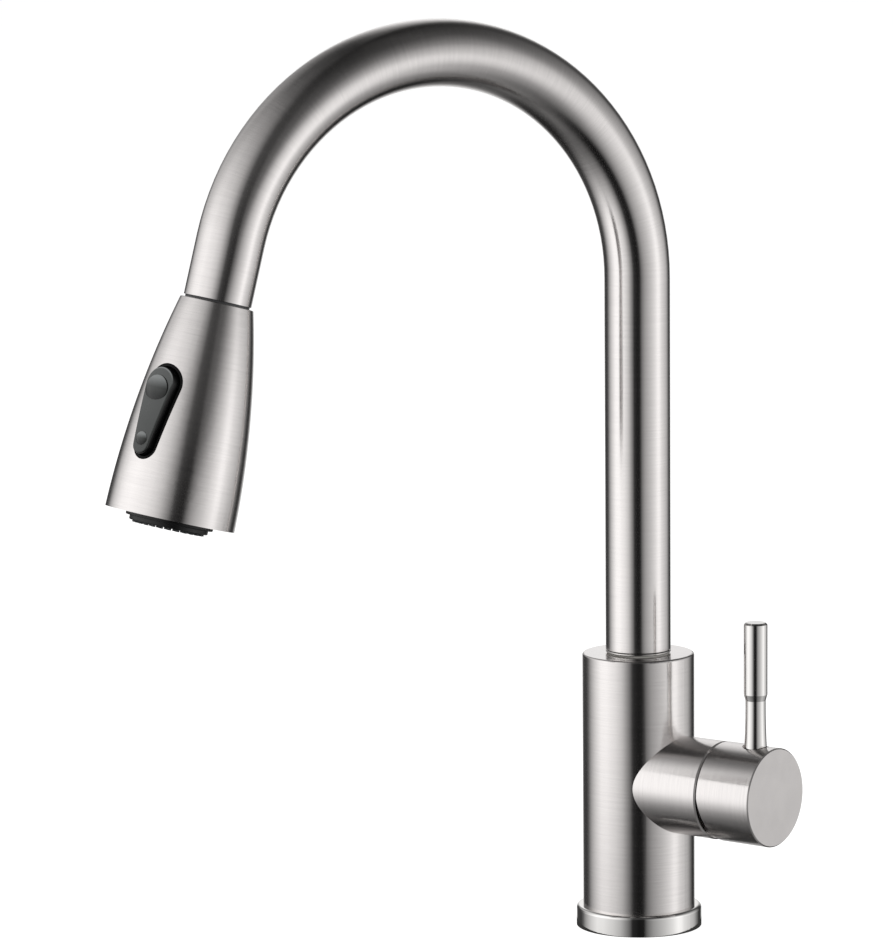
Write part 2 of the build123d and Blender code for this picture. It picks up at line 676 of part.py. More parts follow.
def pivot_pin():
    return Pos(PIVOT_X, 0, HANDLE_Z) * pin(PIVOT_R, 2 * (GUIDE_R - PIVOT_R / 3))


def stem():
    """Square outside, with a round finger that reaches into the disc driver."""
    shoulder = PIVOT_X - STEM_SHOULDER
    square = Pos(0, 0, shoulder) * extrude(Rectangle(STEM_SIDE, STEM_SIDE), STEM_END - shoulder)
    finger = rod(FINGER_R - 2 * EASY, BALL_X, shoulder)
    ball = Pos(0, 0, BALL_X) * Sphere(FINGER_R - EASY)
    hole = Pos(PIVOT_X, 0, HANDLE_Z) * pin(PIVOT_R + PRESSED, STEM_SIDE + 2)
    return along_handle(square + finger + ball) - hole


def cartridge_nut():
    """Round threaded ring with wrench notches."""
    nut = ring(BOSS_BORE_R, NECK_R + RUNNING, CARTRIDGE_SHOULDER, NUT_FACE)
    half = NOTCH_WIDTH / 2
    notch = block((NECK_R - 1, NECK_R + NOTCH_DEPTH), (-half, half), (CARTRIDGE_END, NUT_FACE + 1))
    for i in range(NOTCHES):
        nut -= Rot(0, 0, 360 * i / NOTCHES) * notch
    return along_handle(nut)


def bonnet_ring():
    edge = BONNET_EDGE
    bevel = BONNET_FACE - edge
    return along_handle(lathe(
        (BONNET_HOLE_R, NUT_FACE), (BOSS_BORE_R, NUT_FACE), (BOSS_BORE_R, bevel),
        (BOSS_BORE_R - edge, BONNET_FACE), (BONNET_HOLE_R + edge, BONNET_FACE), (BONNET_HOLE_R, bevel),
    ))


# ---------------------------------------------------------------- handle
def hub_rear_cut():
    """Wedge that cuts the hub's rear face back below the handle's axis."""
    before = HUB_REAR - HUB_R
    low = -2 * HUB_R
    after = HUB_REAR + 2 * HUB_CUT
    wedge = make_face(Polyline((HUB_REAR, 0), (after, low), (before, low), (before, 0), close=True))
    return Pos(0, 0, HANDLE_Z) * extrude(Plane.XZ * wedge, HUB_R + 1, both=True)


def handle_hub():
    """Cup with a solid middle for the stem and a pillar for the lever's stud."""
    rim_r = HUB_R - HUB_RIM_WALL
    cup_r = HUB_R - HUB_WALL
    rim_end = HUB_REAR + HUB_RIM
    core_rear = HUB_REAR + CORE_GAP
    floor = HUB_END - HUB_FACE
    shell = lathe(
        (0, core_rear), (CORE_R, core_rear), (CORE_R, floor), (cup_r, floor),
        (cup_r, rim_end + rim_r - cup_r), (rim_r, rim_end), (rim_r, HUB_REAR), (HUB_R, HUB_REAR),
        (HUB_R, HUB_END - HUB_EDGE), (HUB_R - HUB_EDGE, HUB_END), (0, HUB_END),
    )
    pillar = Pos(LEVER_X, 0, HANDLE_Z) * rod(LEVER_RECESS_R + PILLAR_WALL, 0, rim_r)
    hub = along_handle(shell) - hub_rear_cut() + (pillar & along_handle(rod(rim_r, core_rear, HUB_END)))
    half = STEM_SIDE / 2 + PRESSED
    hub -= along_handle(block((-half, half), (-half, half), (HUB_REAR, STEM_END + STEM_GAP / 2)))
    screw_line = Pos(SET_SCREW_X, 0, HANDLE_Z)
    hub -= screw_line * rod(SET_SCREW_R, -CORE_R - 1, 0)
    hub -= screw_line * rod(SET_SCREW_R + PLUG_STEP, -HUB_R - 1, -CORE_R - 1)
    lever_line = Pos(LEVER_X, 0, 0)
    hub -= lever_line * rod(LEVER_RECESS_R, LEVER_SEAT, LEVER_SEAT + HUB_R)
    return hub - lever_line * rod(STUD_R, LEVER_SEAT - STUD_LENGTH, LEVER_SEAT)


def lever():
    cone_bottom = CONE_TOP - CONE_LENGTH
    waist_r = LEVER_NECK_R + (LEVER_FOOT_R - LEVER_NECK_R) / 5
    stud_end = LEVER_SEAT - STUD_LENGTH + STUD_R / 6
    side = Polyline(
        (0, LEVER_TOP), (LEVER_R - LEVER_EDGE, LEVER_TOP), (LEVER_R, LEVER_TOP - LEVER_EDGE),
        (LEVER_R, CONE_TOP), (LEVER_NECK_R, cone_bottom),
    )
    middle = (waist_r, (cone_bottom + LEVER_SEAT) / 2)
    flare = ThreePointArc((LEVER_NECK_R, cone_bottom), middle, (LEVER_FOOT_R, LEVER_SEAT))
    stud = Polyline(
        (LEVER_FOOT_R, LEVER_SEAT), (STUD_R, LEVER_SEAT), (STUD_R, stud_end), (0, stud_end), (0, LEVER_TOP)
    )
    return Pos(LEVER_X, 0, 0) * revolve(Plane.XZ * make_face(side + flare + stud), Axis.Z)


def set_screw():
    tip = -STEM_SIDE / 2
    end = tip - SET_SCREW_LENGTH
    key = extrude(RegularPolygon(SET_SCREW_KEY / 2, 6, major_radius=False), SET_SCREW_LENGTH / 2)
    return Pos(SET_SCREW_X, 0, HANDLE_Z) * (rod(SET_SCREW_R, end, tip) - Pos(0, 0, end) * key)


def hub_plug():
    """Small round plug over the set screw, flush with the hub's underside."""
    plug = Pos(SET_SCREW_X, 0, HANDLE_Z) * rod(SET_SCREW_R + PLUG_STEP, -HUB_R, -HUB_R + HUB_PLUG)
    return plug & along_handle(rod(HUB_R - RUNNING, HUB_REAR, HUB_END))


# ---------------------------------------------------------------- spout
def spout_path(bottom, overrun=0.0):
    """Centre line from a height on the Z axis to the seam, or past it by overrun."""
    middle = radians(BEND_TURN / 2)
    crown = BEND_START + OUTWARD * (BEND_R * (1 - cos(middle))) + UP * (BEND_R * sin(middle))
    riser = Line((0, 0, bottom), BEND_START)
    bend = ThreePointArc(BEND_START, crown, BEND_END)
    return riser + bend + Line(BEND_END, SEAM + HEAD_AXIS * overrun)


def swept(outer, inner, bottom, overrun):
    section = Pos(0, 0, bottom) * (Circle(outer) - Circle(inner))
    return sweep(section, path=spout_path(bottom, overrun))


def spout_tube():
    return swept(TUBE_R, TUBE_BORE_R, TUBE_BOTTOM, -SEAM_GAP)


def spray_hose():
    """Runs on the spout's centre line, from under the worktop into the head's ferrule."""
    return swept(HOSE_R, HOSE_BORE_R, -SHANK_BELOW - HOSE_OUT, FERRULE_BOTTOM - PRESSED)


def spout_foot():
    """Its bore is flared at the top, where the hose runs in."""
    top = TUBE_BOTTOM + FOOT_IN_TUBE
    flare = FOOT_WALL / 4
    foot = lathe(
        (FOOT_BORE_R, FOOT_BOTTOM), (FOOT_R, FOOT_BOTTOM), (FOOT_R, TUBE_BOTTOM), (TUBE_BORE_R, TUBE_BOTTOM),
        (TUBE_BORE_R, top), (FOOT_BORE_R + flare, top), (FOOT_BORE_R, top - 2 * flare),
    )
    groove = O_RING_R + PRESSED
    for height in O_RING_HEIGHTS:
        foot -= ring(FOOT_R + 1, FOOT_R - 2 * O_RING_R, height - groove, height + groove)
    return foot - ring(FOOT_R + 1, FOOT_R - CLIP_GROOVE, CLIP_BOTTOM - PRESSED, CLIP_TOP + PRESSED)


def swivel_o_rings():
    return [torus(FOOT_R - O_RING_R, O_RING_R, height) for height in O_RING_HEIGHTS]


def retaining_clip():
    """C-shaped, open towards +X."""
    inner = FOOT_R - CLIP_GROOVE
    outer = inner + CLIP_WIDTH
    mouth = block((0, outer + 1), (-CLIP_GAP / 2, CLIP_GAP / 2), (CLIP_BOTTOM - 1, CLIP_TOP + 1))
    return ring(outer, inner, CLIP_BOTTOM, CLIP_TOP) - mouth


def spout_bearing():
    roof = BODY_TOP - TOP_PLATE
    flange_r = BEARING_R + BEARING_FLANGE_WIDTH
    return lathe(
        (BEARING_BORE_R, BEARING_BOTTOM), (BEARING_R, BEARING_BOTTOM), (BEARING_R, roof - BEARING_FLANGE),
        (flange_r, roof - BEARING_FLANGE), (flange_r, roof), (BEARING_R, roof),
        (BEARING_R, BEARING_TOP), (BEARING_BORE_R, BEARING_TOP),
    )


def foot_ring():
    edge = RING_EDGE
    return lathe(
        (FOOT_R, RING_BOTTOM), (TUBE_R - edge, RING_BOTTOM), (TUBE_R, RING_BOTTOM + edge),
        (TUBE_R, RING_TOP - edge), (TUBE_R - edge, RING_TOP), (FOOT_R, RING_TOP),
    )


def foot_washer():
    return ring(TUBE_R - WASHER_INSET, FOOT_R, RING_TOP, TUBE_BOTTOM)


def dock_collar():
    """Plastic lining of the spout's end: hose guide above, socket for the head's neck below."""
    lip = -RUNNING / 2
    edge = COLLAR_WALL / 4
    guide_end = -COLLAR_LENGTH + COLLAR_GUIDE
    return in_head(lathe(
        (CHANNEL_R + 2 * edge, -COLLAR_LENGTH), (TUBE_BORE_R, -COLLAR_LENGTH), (TUBE_BORE_R, -SEAM_GAP),
        (TUBE_R - COLLAR_INSET, -SEAM_GAP), (TUBE_R - COLLAR_INSET, lip), (COLLAR_SOCKET_R + edge, lip),
        (COLLAR_SOCKET_R, lip - edge), (COLLAR_SOCKET_R, guide_end), (CHANNEL_R, guide_end),
        (CHANNEL_R, -COLLAR_LENGTH + 2 * edge),
    ))


# ---------------------------------------------------------------- spray head: hose end and inlet
def hose_ferrule():
    """Crimped sleeve with rolled grooves."""
    bore = HOSE_R + RUNNING
    depth = FERRULE_GROOVE
    outline = [(bore, FERRULE_TOP), (FERRULE_R - depth, FERRULE_TOP), (FERRULE_R, FERRULE_TOP + depth)]
    low_r = FERRULE_R - depth
    for z in [FERRULE_TOP + down for down in FERRULE_GROOVES]:
        outline += [(FERRULE_R, z - 2 * depth), (low_r, z - depth)]
        outline += [(low_r, z + depth), (FERRULE_R, z + 2 * depth)]
    outline += [(FERRULE_R, FERRULE_BOTTOM), (bore, FERRULE_BOTTOM)]
    return in_head(lathe(*outline))


def hose_nipple():
    barb_top = FERRULE_BOTTOM - BARB_LENGTH
    return in_head(lathe(
        (NIPPLE_BORE_R, barb_top), (BARB_R - BARB_TAPER, barb_top), (BARB_R, barb_top + 2 * BARB_TAPER),
        (BARB_R, FERRULE_BOTTOM), (FERRULE_R, FERRULE_BOTTOM), (FERRULE_R, NIPPLE_TOP),
        (NIPPLE_R, NIPPLE_TOP), (NIPPLE_R, NIPPLE_END), (NIPPLE_BORE_R, NIPPLE_END),
    ))


def swivel_nut():
    bore = FERRULE_R + EASY
    wide_bore = NIPPLE_R + RUNNING
    top = CORE_TOP + EASY
    bottom = top + SWIVEL_NUT_LENGTH
    return in_head(lathe(
        (bore, top), (SWIVEL_NUT_R, top), (SWIVEL_NUT_R, bottom), (wide_bore, bottom),
        (wide_bore, NIPPLE_TOP - RUNNING), (bore, NIPPLE_TOP - RUNNING),
    ))


def hose_washer():
    return in_head(ring(NIPPLE_R, HOSE_R, NIPPLE_END + PRESSED, SEAT_Z))


def inlet_filter():
    disc = rod(VALVE_R, SEAT_Z, VALVE_Z)
    for radius, count in FILTER_RINGS:
        for hole in circle_of_holes(radius, count, FILTER_HOLE_R, SEAT_Z - 1, VALVE_Z + 1):
            disc -= hole
    return in_head(disc)


def check_valve():
    """Non-return insert: a sleeve whose cross arms carry the poppet."""
    reach = VALVE_R - VALVE_WALL / 2
    half = SPIDER_ARM / 2
    spider_top = VALVE_Z + SPIDER_DEPTH
    spider_end = spider_top + SPIDER_THICKNESS
    poppet_top = VALVE_Z + SPIDER_THICKNESS / 2
    arms = block((-reach, reach), (-half, half), (spider_top, spider_end))
    spider = ring(reach, SPIDER_HOLE_R, spider_top, spider_end) + arms
    poppet = lathe(
        (0, poppet_top), (POPPET_R, poppet_top), (POPPET_R, poppet_top + 1), (POPPET_STEM_R, spider_top),
        (POPPET_STEM_R, VALVE_END - 1), (0, VALVE_END - 1),
    )
    return in_head(ring(VALVE_R, VALVE_R - VALVE_WALL, VALVE_Z, VALVE_END) + spider + poppet)


def dock_plug():
    """The head's neck: it stands in the spout's collar when the head is docked."""
    tip_r = PLUG_R - PLUG_TAPER
    return in_head(lathe(
        (PLUG_BORE_R, -PLUG_LENGTH), (tip_r - PLUG_TAPER, -PLUG_LENGTH), (tip_r, -PLUG_LENGTH + PLUG_TAPER),
        (PLUG_R, -PLUG_STRAIGHT), (PLUG_R, HEAD_TOP_PLATE), (CORE_HEAD_R, HEAD_TOP_PLATE),
        (CORE_HEAD_R, CORE_TOP), (PLUG_BORE_R, CORE_TOP),
    ))


# ---------------------------------------------------------------- spray head: shell and button
def head_shell():
    """Bell-shaped wall, closed at the top but for the neck's hole."""
    mouth = rod(HEAD_RIM_R - HEAD_WALL, HEAD_LENGTH - 1, HEAD_LENGTH + 1)
    inside = head_solid(-HEAD_WALL, HEAD_TOP_PLATE, HEAD_LENGTH) + mouth
    shell = head_solid(0, 0, HEAD_LENGTH) - inside - rod(PLUG_R + RUNNING, -1, CORE_TOP) - teardrop(0)
    top_edge = shell.edges().filter_by(GeomType.CIRCLE).group_by(Axis.Z)[0].sort_by(SortBy.RADIUS)[-1]
    return in_head(fillet(top_edge, HEAD_EDGE))


def button_bezel():
    """Black frame behind the opening; a thin lip lines the opening itself."""
    top, bottom = OPENING_TOP - 2 * BEZEL_EDGE, OPENING_END + 2 * BEZEL_EDGE
    under = -HEAD_WALL - RUNNING
    inside = head_solid(under - BEZEL_THICKNESS, top - 1, bottom + 1)
    frame = (head_solid(under, top, bottom) - inside) & teardrop(BEZEL_EDGE)
    lip = (head_solid(-BEZEL_SUNK, top, bottom) - inside) & teardrop(-PRESSED)
    return in_head(frame + lip - teardrop(-BEZEL_LIP) - at_rocker(pin(ROCKER_PIN_R, HEAD_RIM_R)))


def at_rocker(shape):
    return Pos(ROCKER_X, 0, BUTTON_Z) * shape


def rocker_pin():
    return in_head(at_rocker(pin(ROCKER_PIN_R, 2 * (OPENING_BIG_R + EASY))))


def dome(base_r, height, z):
    """Cap of a ball standing on the rocker's face, with a root sunk in it."""
    middle = (base_r * sin(radians(33)), height * cos(radians(44)))
    cap = ThreePointArc((base_r, 0), middle, (0, height))
    side = Polyline((0, height), (0, -DOME_ROOT), (base_r, -DOME_ROOT), (base_r, 0))
    button = revolve(Plane.XZ * make_face(cap + side), Axis.Z)
    return Pos(head_radius(z) + BUTTON_PROUD, 0, z) * Rot(0, 90, 0) * button


def along_x(radius, start, end):
    """Rod along the head's x."""
    return Pos(start, 0, 0) * Rot(0, 90, 0) * rod(radius, 0, end - start)


def rocker_button():
    """Curved plate with a rounded edge and two press points, a lug on the pin, and a leg for the spool."""
    outline = teardrop(-BEZEL_LIP - BUTTON_GAP)
    top, bottom = OPENING_TOP - 1, OPENING_END + 1
    body = (head_solid(BUTTON_PROUD, top, bottom) - head_solid(-BUTTON_SKIN, top - 1, bottom + 1)) & outline
    face = body.faces().sort_by(Axis.X)[-1]
    body = fillet(face.edges(), BUTTON_EDGE)
    body += dome(BIG_DOME_R, BIG_DOME_HEIGHT, BIG_END_Z + BIG_DOME_DOWN)
    body += dome(SMALL_DOME_R, SMALL_DOME_HEIGHT, SMALL_END_Z - SMALL_DOME_UP)
    lug_top = head_radius(BUTTON_Z) - BUTTON_SKIN / 2
    lug_ends = (BUTTON_Z - ROCKER_LUG, BUTTON_Z + ROCKER_LUG)
    body += block((ROCKER_X - ROCKER_LUG, lug_top), (-ROCKER_LUG_HALF, ROCKER_LUG_HALF), lug_ends)
    body += Pos(0, 0, BUTTON_Z) * along_x(LEG_R, SPOOL_X + LEG_DEPTH, ROCKER_X)
    return in_head(body - at_rocker(pin(ROCKER_PIN_R + PRESSED, HEAD_RIM_R)))


# ---------------------------------------------------------------- spray head: waterways
def head_core():
    """Plastic body of the head: inlet above, spool bore beside the axis, spray chamber below."""
    spool_top, spool_end = BUTTON_Z - SPOOL_LENGTH / 2, BUTTON_Z + SPOOL_LENGTH / 2
    room = LEG_TRAVEL + SPOOL_ROOM
    wide_end = VALVE_END + 1
    core = lathe(
        (0, CORE_TOP), (CORE_HEAD_R, CORE_TOP), (CORE_HEAD_R, wide_end),
        (CORE_MIDDLE_R, wide_end + CORE_STEP), (CORE_MIDDLE_R, CHAMBER_TOP - CHAMBER_CONE),
        (CHAMBER_R, CHAMBER_TOP), (CHAMBER_R, CHAMBER_BOTTOM), (0, CHAMBER_BOTTOM),
    )
    cup_r = AERATOR_R + AERATOR_WALL
    core -= ring(CHAMBER_R - CHAMBER_WALL, cup_r, CHAMBER_TOP + CHAMBER_ROOF, CHAMBER_BOTTOM + 1)
    core -= rod(AERATOR_R + RUNNING, AERATOR_TOP - CHAMBER_ROOF, CHAMBER_BOTTOM + 1)
    core -= rod(SWIVEL_NUT_R + PRESSED, CORE_TOP - 1, SEAT_Z)
    core -= rod(VALVE_R + PRESSED, SEAT_Z - 1, VALVE_END)
    core -= Pos(SPOOL_X, 0, 0) * rod(SPOOL_R + RUNNING, spool_top - room, spool_end + room)
    core -= Pos(SPOOL_X - SPOOL_R / 2, 0, 0) * rod(WATERWAY_R, VALVE_END - 1, spool_top)
    half = LEG_R + LEG_TRAVEL + LEG_ROOM
    core -= block((SPOOL_X, CORE_HEAD_R), (-LEG_R - 1, LEG_R + 1), (BUTTON_Z - half, BUTTON_Z + half))
    branch_z = BUTTON_Z - SPOOL_LENGTH / 2 + SPOOL_RING_INSET
    core -= Pos(-SPOOL_X, 0, 0) * rod(WATERWAY_R, branch_z, AERATOR_TOP)
    core -= Pos(0, 0, branch_z + WATERWAY_R) * along_x(WATERWAY_R, -SPOOL_X, SPOOL_X)
    half = ROCKER_LUG_HALF + 2
    floor = ROCKER_X - ROCKER_LUG - LEG_ROOM
    pocket = block((floor, CHAMBER_R + 1), (-half, half), (BUTTON_Z - 2 * half, CHAMBER_TOP))
    return in_head(core - pocket)


def spool_ring_places():
    return (BUTTON_Z - SPOOL_LENGTH / 2 + SPOOL_RING_INSET, BUTTON_Z + SPOOL_LENGTH / 2 - SPOOL_RING_INSET)


def diverter_spool():
    low, high = BUTTON_Z - SPOOL_LENGTH / 2, BUTTON_Z + SPOOL_LENGTH / 2
    half = SPOOL_GROOVE / 2
    spool = rod(SPOOL_R, low, high) - ring(SPOOL_R + 1, SPOOL_WAIST_R, BUTTON_Z - half, BUTTON_Z + half)
    groove = 1.5 * SPOOL_RING_R
    for z in spool_ring_places():
        spool -= ring(SPOOL_R + 1, SPOOL_R - 2 * SPOOL_RING_R, z - groove, z + groove)
    return in_head(Pos(SPOOL_X, 0, 0) * spool)


def spool_o_rings():
    mean = SPOOL_R - SPOOL_RING_R + PRESSED / 2
    return [in_head(Pos(SPOOL_X, 0, 0) * torus(mean, SPOOL_RING_R, z)) for z in spool_ring_places()]


# ---------------------------------------------------------------- spray head: face
def spray_face():
    """Black ring that closes the head, screwed on the core."""
    skirt_in = CHAMBER_R + PRESSED
    skirt_out = skirt_in + FACE_SKIRT_WALL
    outer = HEAD_RIM_R - HEAD_WALL - FACE_CLEARANCE
    hole = NOZZLE_R + RUNNING
    skirt_top = CHAMBER_BOTTOM - FACE_SKIRT
    return in_head(lathe(
        (skirt_in, skirt_top), (skirt_out, skirt_top), (skirt_out, FACE_TOP), (outer, FACE_TOP),
        (outer, FACE_BOTTOM - FACE_EDGE), (outer - FACE_EDGE, FACE_BOTTOM), (hole, FACE_BOTTOM),
        (hole, SHELF_Z), (skirt_in, SHELF_Z),
    ))


def face_o_ring():
    return in_head(torus(CHAMBER_R - CHAMBER_WALL / 2, FACE_O_RING_R, CHAMBER_BOTTOM + FACE_O_RING_R))


def nozzle_plate():
    """Stepped cup whose floor the nozzles stand through."""
    edge = NOZZLE_EDGE
    lip_r = CHAMBER_R - NOZZLE_LIP_INSET
    inner = NOZZLE_STEP_R - NOZZLE_WALL
    hole = AERATOR_R + RUNNING
    plate = lathe(
        (inner, LIP_TOP), (lip_r, LIP_TOP), (lip_r, SHELF_Z), (NOZZLE_R, SHELF_Z),
        (NOZZLE_R, NOZZLE_MIDDLE - edge), (NOZZLE_R - edge, NOZZLE_MIDDLE), (NOZZLE_STEP_R, NOZZLE_MIDDLE),
        (NOZZLE_STEP_R, NOZZLE_BOTTOM - edge), (NOZZLE_STEP_R - edge, NOZZLE_BOTTOM), (hole, NOZZLE_BOTTOM),
        (hole, NOZZLE_FLOOR), (inner, NOZZLE_FLOOR),
    )
    for radius, count in NUB_RINGS:
        for hole in circle_of_holes(radius, count, NUB_R + PRESSED, NOZZLE_FLOOR - 1, NOZZLE_BOTTOM + 1):
            plate -= hole
    return in_head(plate)


def nozzle_mat():
    """Soft sheet inside the cup; each nub has its own water hole."""
    top = NOZZLE_FLOOR - MAT_THICKNESS
    tip = NOZZLE_BOTTOM + NUB_PROUD
    mat = ring(NOZZLE_STEP_R - NOZZLE_WALL - EASY, AERATOR_R + NUB_R / 2, top, NOZZLE_FLOOR)
    for radius, count in NUB_RINGS:
        for nub in circle_of_holes(radius, count, NUB_R, NOZZLE_FLOOR - EASY, tip):
            mat += nub
        for hole in circle_of_holes(radius, count, NUB_BORE_R, top - 1, tip + 1):
            mat -= hole
    return in_head(mat)


def aerator_housing():
    lip_r = AERATOR_BORE_R - AERATOR_LIP
    shelf = AERATOR_FLOOR - AERATOR_LIP_HEIGHT
    return in_head(lathe(
        (AERATOR_BORE_R, AERATOR_TOP), (AERATOR_R, AERATOR_TOP), (AERATOR_R, AERATOR_FLOOR),
        (lip_r, AERATOR_FLOOR), (lip_r, shelf), (AERATOR_BORE_R, shelf),
    ))


def aerator_screen():
    """Round plate with a honeycomb of holes."""
    bottom = AERATOR_FLOOR - AERATOR_LIP_HEIGHT
    screen = rod(AERATOR_BORE_R, bottom - SCREEN_THICKNESS, bottom)
    reach = int(AERATOR_R / MESH_PITCH)
    for i in range(-reach, reach + 1):
        for j in range(-reach, reach + 1):
            x, y = (i + j / 2) * MESH_PITCH, j * MESH_PITCH * sqrt(3) / 2
            if hypot(x, y) < AERATOR_BORE_R - AERATOR_LIP - MESH_HOLE_R:
                screen -= Pos(x, y, 0) * rod(MESH_HOLE_R, bottom - SCREEN_THICKNESS - 1, bottom + 1)
    return in_head(screen)


# ---------------------------------------------------------------- all nodes
NODES = [
    base_flange, base_gasket, mounting_shank, rubber_washer, steel_washer, mounting_nut,
    body_tube, side_boss, valve_block, spout_bearing,
    port_seals, cartridge_base, cartridge_housing, fixed_disc, moving_disc, disc_driver, stem_guide,
    pivot_pin, stem, cartridge_nut, bonnet_ring,
    handle_hub, lever, set_screw, hub_plug,
    spout_tube, spout_foot, foot_ring, foot_washer, swivel_o_rings, retaining_clip, dock_collar, spray_hose,
    hose_ferrule, hose_nipple, swivel_nut, hose_washer, inlet_filter, check_valve, dock_plug,
    head_shell, button_bezel, rocker_pin, rocker_button, head_core, diverter_spool, spool_o_rings,
    spray_face, face_o_ring, nozzle_plate, nozzle_mat, aerator_housing, aerator_screen,
]


def solids_of(made):
    """The solids of one shape, or of a list of them."""
    shapes = made if isinstance(made, list) else [made]
    return [solid for shape in shapes for solid in shape.solids()]


def shown(vector):
    """A vector's parts as short text."""
    return [f"{part:.6f}" for part in vector]


os.makedirs("parts", exist_ok=True)
for node in NODES:
    solids = solids_of(node())
    shape = solids[0] if len(solids) == 1 else Compound(children=solids)
    export_step(shape, f"parts/{node.__name__}.step")

print("seam", shown(SEAM), "head axis", shown(HEAD_AXIS))
print("button direction", shown(BUTTON_DIRECTION))
print("rocker pin", shown(HEAD.from_local_coords(Vector(ROCKER_X, 0, BUTTON_Z))))
print("rocker axis", shown(HEAD.y_dir))
print("pivot", PIVOT_X, "disc arm", DRIVER_ARM, "leg travel", LEG_TRAVEL, "leg", ROCKER_X - SPOOL_X)
print("ports", {name: shown(place) for name, place in port_places().items()}, SOCKET_TOP, PORT_TOP)
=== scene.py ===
import logging
from dataclasses import dataclass, field
from enum import Enum
from math import atan2, cos, pi, radians, sin

import bmesh
import bpy
from bmesh.types import BMEdge, BMesh, BMVert
from bpy.types import Material, Node, NodeSocket, NodeTree, Object
from mathutils import Matrix, Vector


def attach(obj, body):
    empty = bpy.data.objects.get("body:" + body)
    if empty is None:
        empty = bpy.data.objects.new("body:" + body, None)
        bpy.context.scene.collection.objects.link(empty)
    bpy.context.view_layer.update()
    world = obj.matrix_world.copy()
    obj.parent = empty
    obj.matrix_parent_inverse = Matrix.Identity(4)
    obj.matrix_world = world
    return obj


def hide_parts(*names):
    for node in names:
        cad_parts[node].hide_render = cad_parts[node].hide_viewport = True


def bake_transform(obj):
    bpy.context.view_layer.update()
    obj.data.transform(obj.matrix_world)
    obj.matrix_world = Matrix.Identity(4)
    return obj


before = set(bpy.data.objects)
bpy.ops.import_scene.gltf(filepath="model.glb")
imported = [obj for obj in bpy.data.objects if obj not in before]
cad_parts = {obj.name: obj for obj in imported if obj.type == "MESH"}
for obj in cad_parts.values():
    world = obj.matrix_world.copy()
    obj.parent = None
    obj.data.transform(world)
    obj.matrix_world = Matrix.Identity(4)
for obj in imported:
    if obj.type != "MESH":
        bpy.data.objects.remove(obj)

LOG = logging.getLogger("tap")
MM = 0.001

# The riser stands on the Z axis; the arch leans out in one upright plane.
SWING = radians(22.5)          # of that plane, from -Y towards -X
OUTWARD = Vector((-sin(SWING), -cos(SWING), 0.0))
UP = Vector((0.0, 0.0, 1.0))
BEND_R = 98.25 * MM            # centre line of the arch
BEND_Z = 280.8 * MM            # height of its centre
BEND_TURN = radians(165.2)
TAIL = 25.7 * MM               # straight tube after the arch

SIDEWAYS = UP.cross(OUTWARD)   # square to the arch's plane
BEND_CENTRE = UP * BEND_Z + OUTWARD * BEND_R
HEAD_AXIS = OUTWARD * sin(BEND_TURN) + UP * cos(BEND_TURN)
BEND_END = BEND_CENTRE + (UP * sin(BEND_TURN) - OUTWARD * cos(BEND_TURN)) * BEND_R
SEAM = BEND_END + HEAD_AXIS * TAIL

# Seen from its centre, the middle of the arch lies towards CROWN, and the tube runs on towards ONWARD there.
HALF_TURN = BEND_TURN / 2
CROWN = UP * sin(HALF_TURN) - OUTWARD * cos(HALF_TURN)
ONWARD = UP * cos(HALF_TURN) + OUTWARD * sin(HALF_TURN)

# Blender's names of the node types that come up most.
MATH = "ShaderNodeMath"
VECTOR_MATH = "ShaderNodeVectorMath"
MAP_RANGE = "ShaderNodeMapRange"
MIX = "ShaderNodeMix"
NOISE = "ShaderNodeTexNoise"
BUMP = "ShaderNodeBump"
PRINCIPLED = "ShaderNodeBsdfPrincipled"


# ---------------------------------------------------------------- node helpers
def linear(colour: str) -> tuple[float, float, float, float]:
    """Turn an sRGB hex colour into linear light.

    Args:
        colour: six hex digits after a hash sign.

    Returns:
        Red, green, blue and an alpha of one.
    """
    parts = [int(colour[i:i + 2], 16) / 255 for i in (1, 3, 5)]
    light = [c / 12.92 if c <= 0.04045 else ((c + 0.055) / 1.055) ** 2.4 for c in parts]
    return (*light, 1.0)


def add_node(tree: NodeTree, kind: str, settings: dict | None = None, inputs: dict | None = None) -> Node:
    """Add a node with its settings, and set or link its inputs.

    Args:
        tree: node tree that takes the node.
        kind: Blender's name of the node's type.
        settings: properties of the node itself.
        inputs: a number, vector or colour to set, or a socket to link, by input name or index.

    Returns:
        The new node.
    """
    node = tree.nodes.new(kind)
    for key, value in (settings or {}).items():
        setattr(node, key, value)
    for key, value in (inputs or {}).items():
        if isinstance(value, NodeSocket):
            tree.links.new(value, node.inputs[key])
        else:
            node.inputs[key].default_value = value
    return node


def set_ramp(node: Node, stops: list[tuple[float, float]]) -> None:
    """Give a colour ramp grey stops.

    Args:
        node: the colour ramp.
        stops: places from 0 to 1, each with its level.
    """
    elements = node.color_ramp.elements
    while len(elements) > 1:
        elements.remove(elements[-1])
    elements[0].position = stops[0][0]
    elements[0].color = (stops[0][1],) * 3 + (1.0,)
    for place, level in stops[1:]:
        element = elements.new(place)
        element.color = (level, level, level, 1.0)


def new_material(name: str) -> tuple[Material, NodeTree]:
    """Start a material.

    Args:
        name: its name.

    Returns:
        The material, and its node tree with nothing in it.
    """
    material = bpy.data.materials.new(name)
    material.use_nodes = True
    material.node_tree.nodes.clear()
    return material, material.node_tree


def close_material(tree: NodeTree, shader: NodeSocket) -> None:
    """Link a shader to the material's output."""
    add_node(tree, "ShaderNodeOutputMaterial", inputs={"Surface": shader})


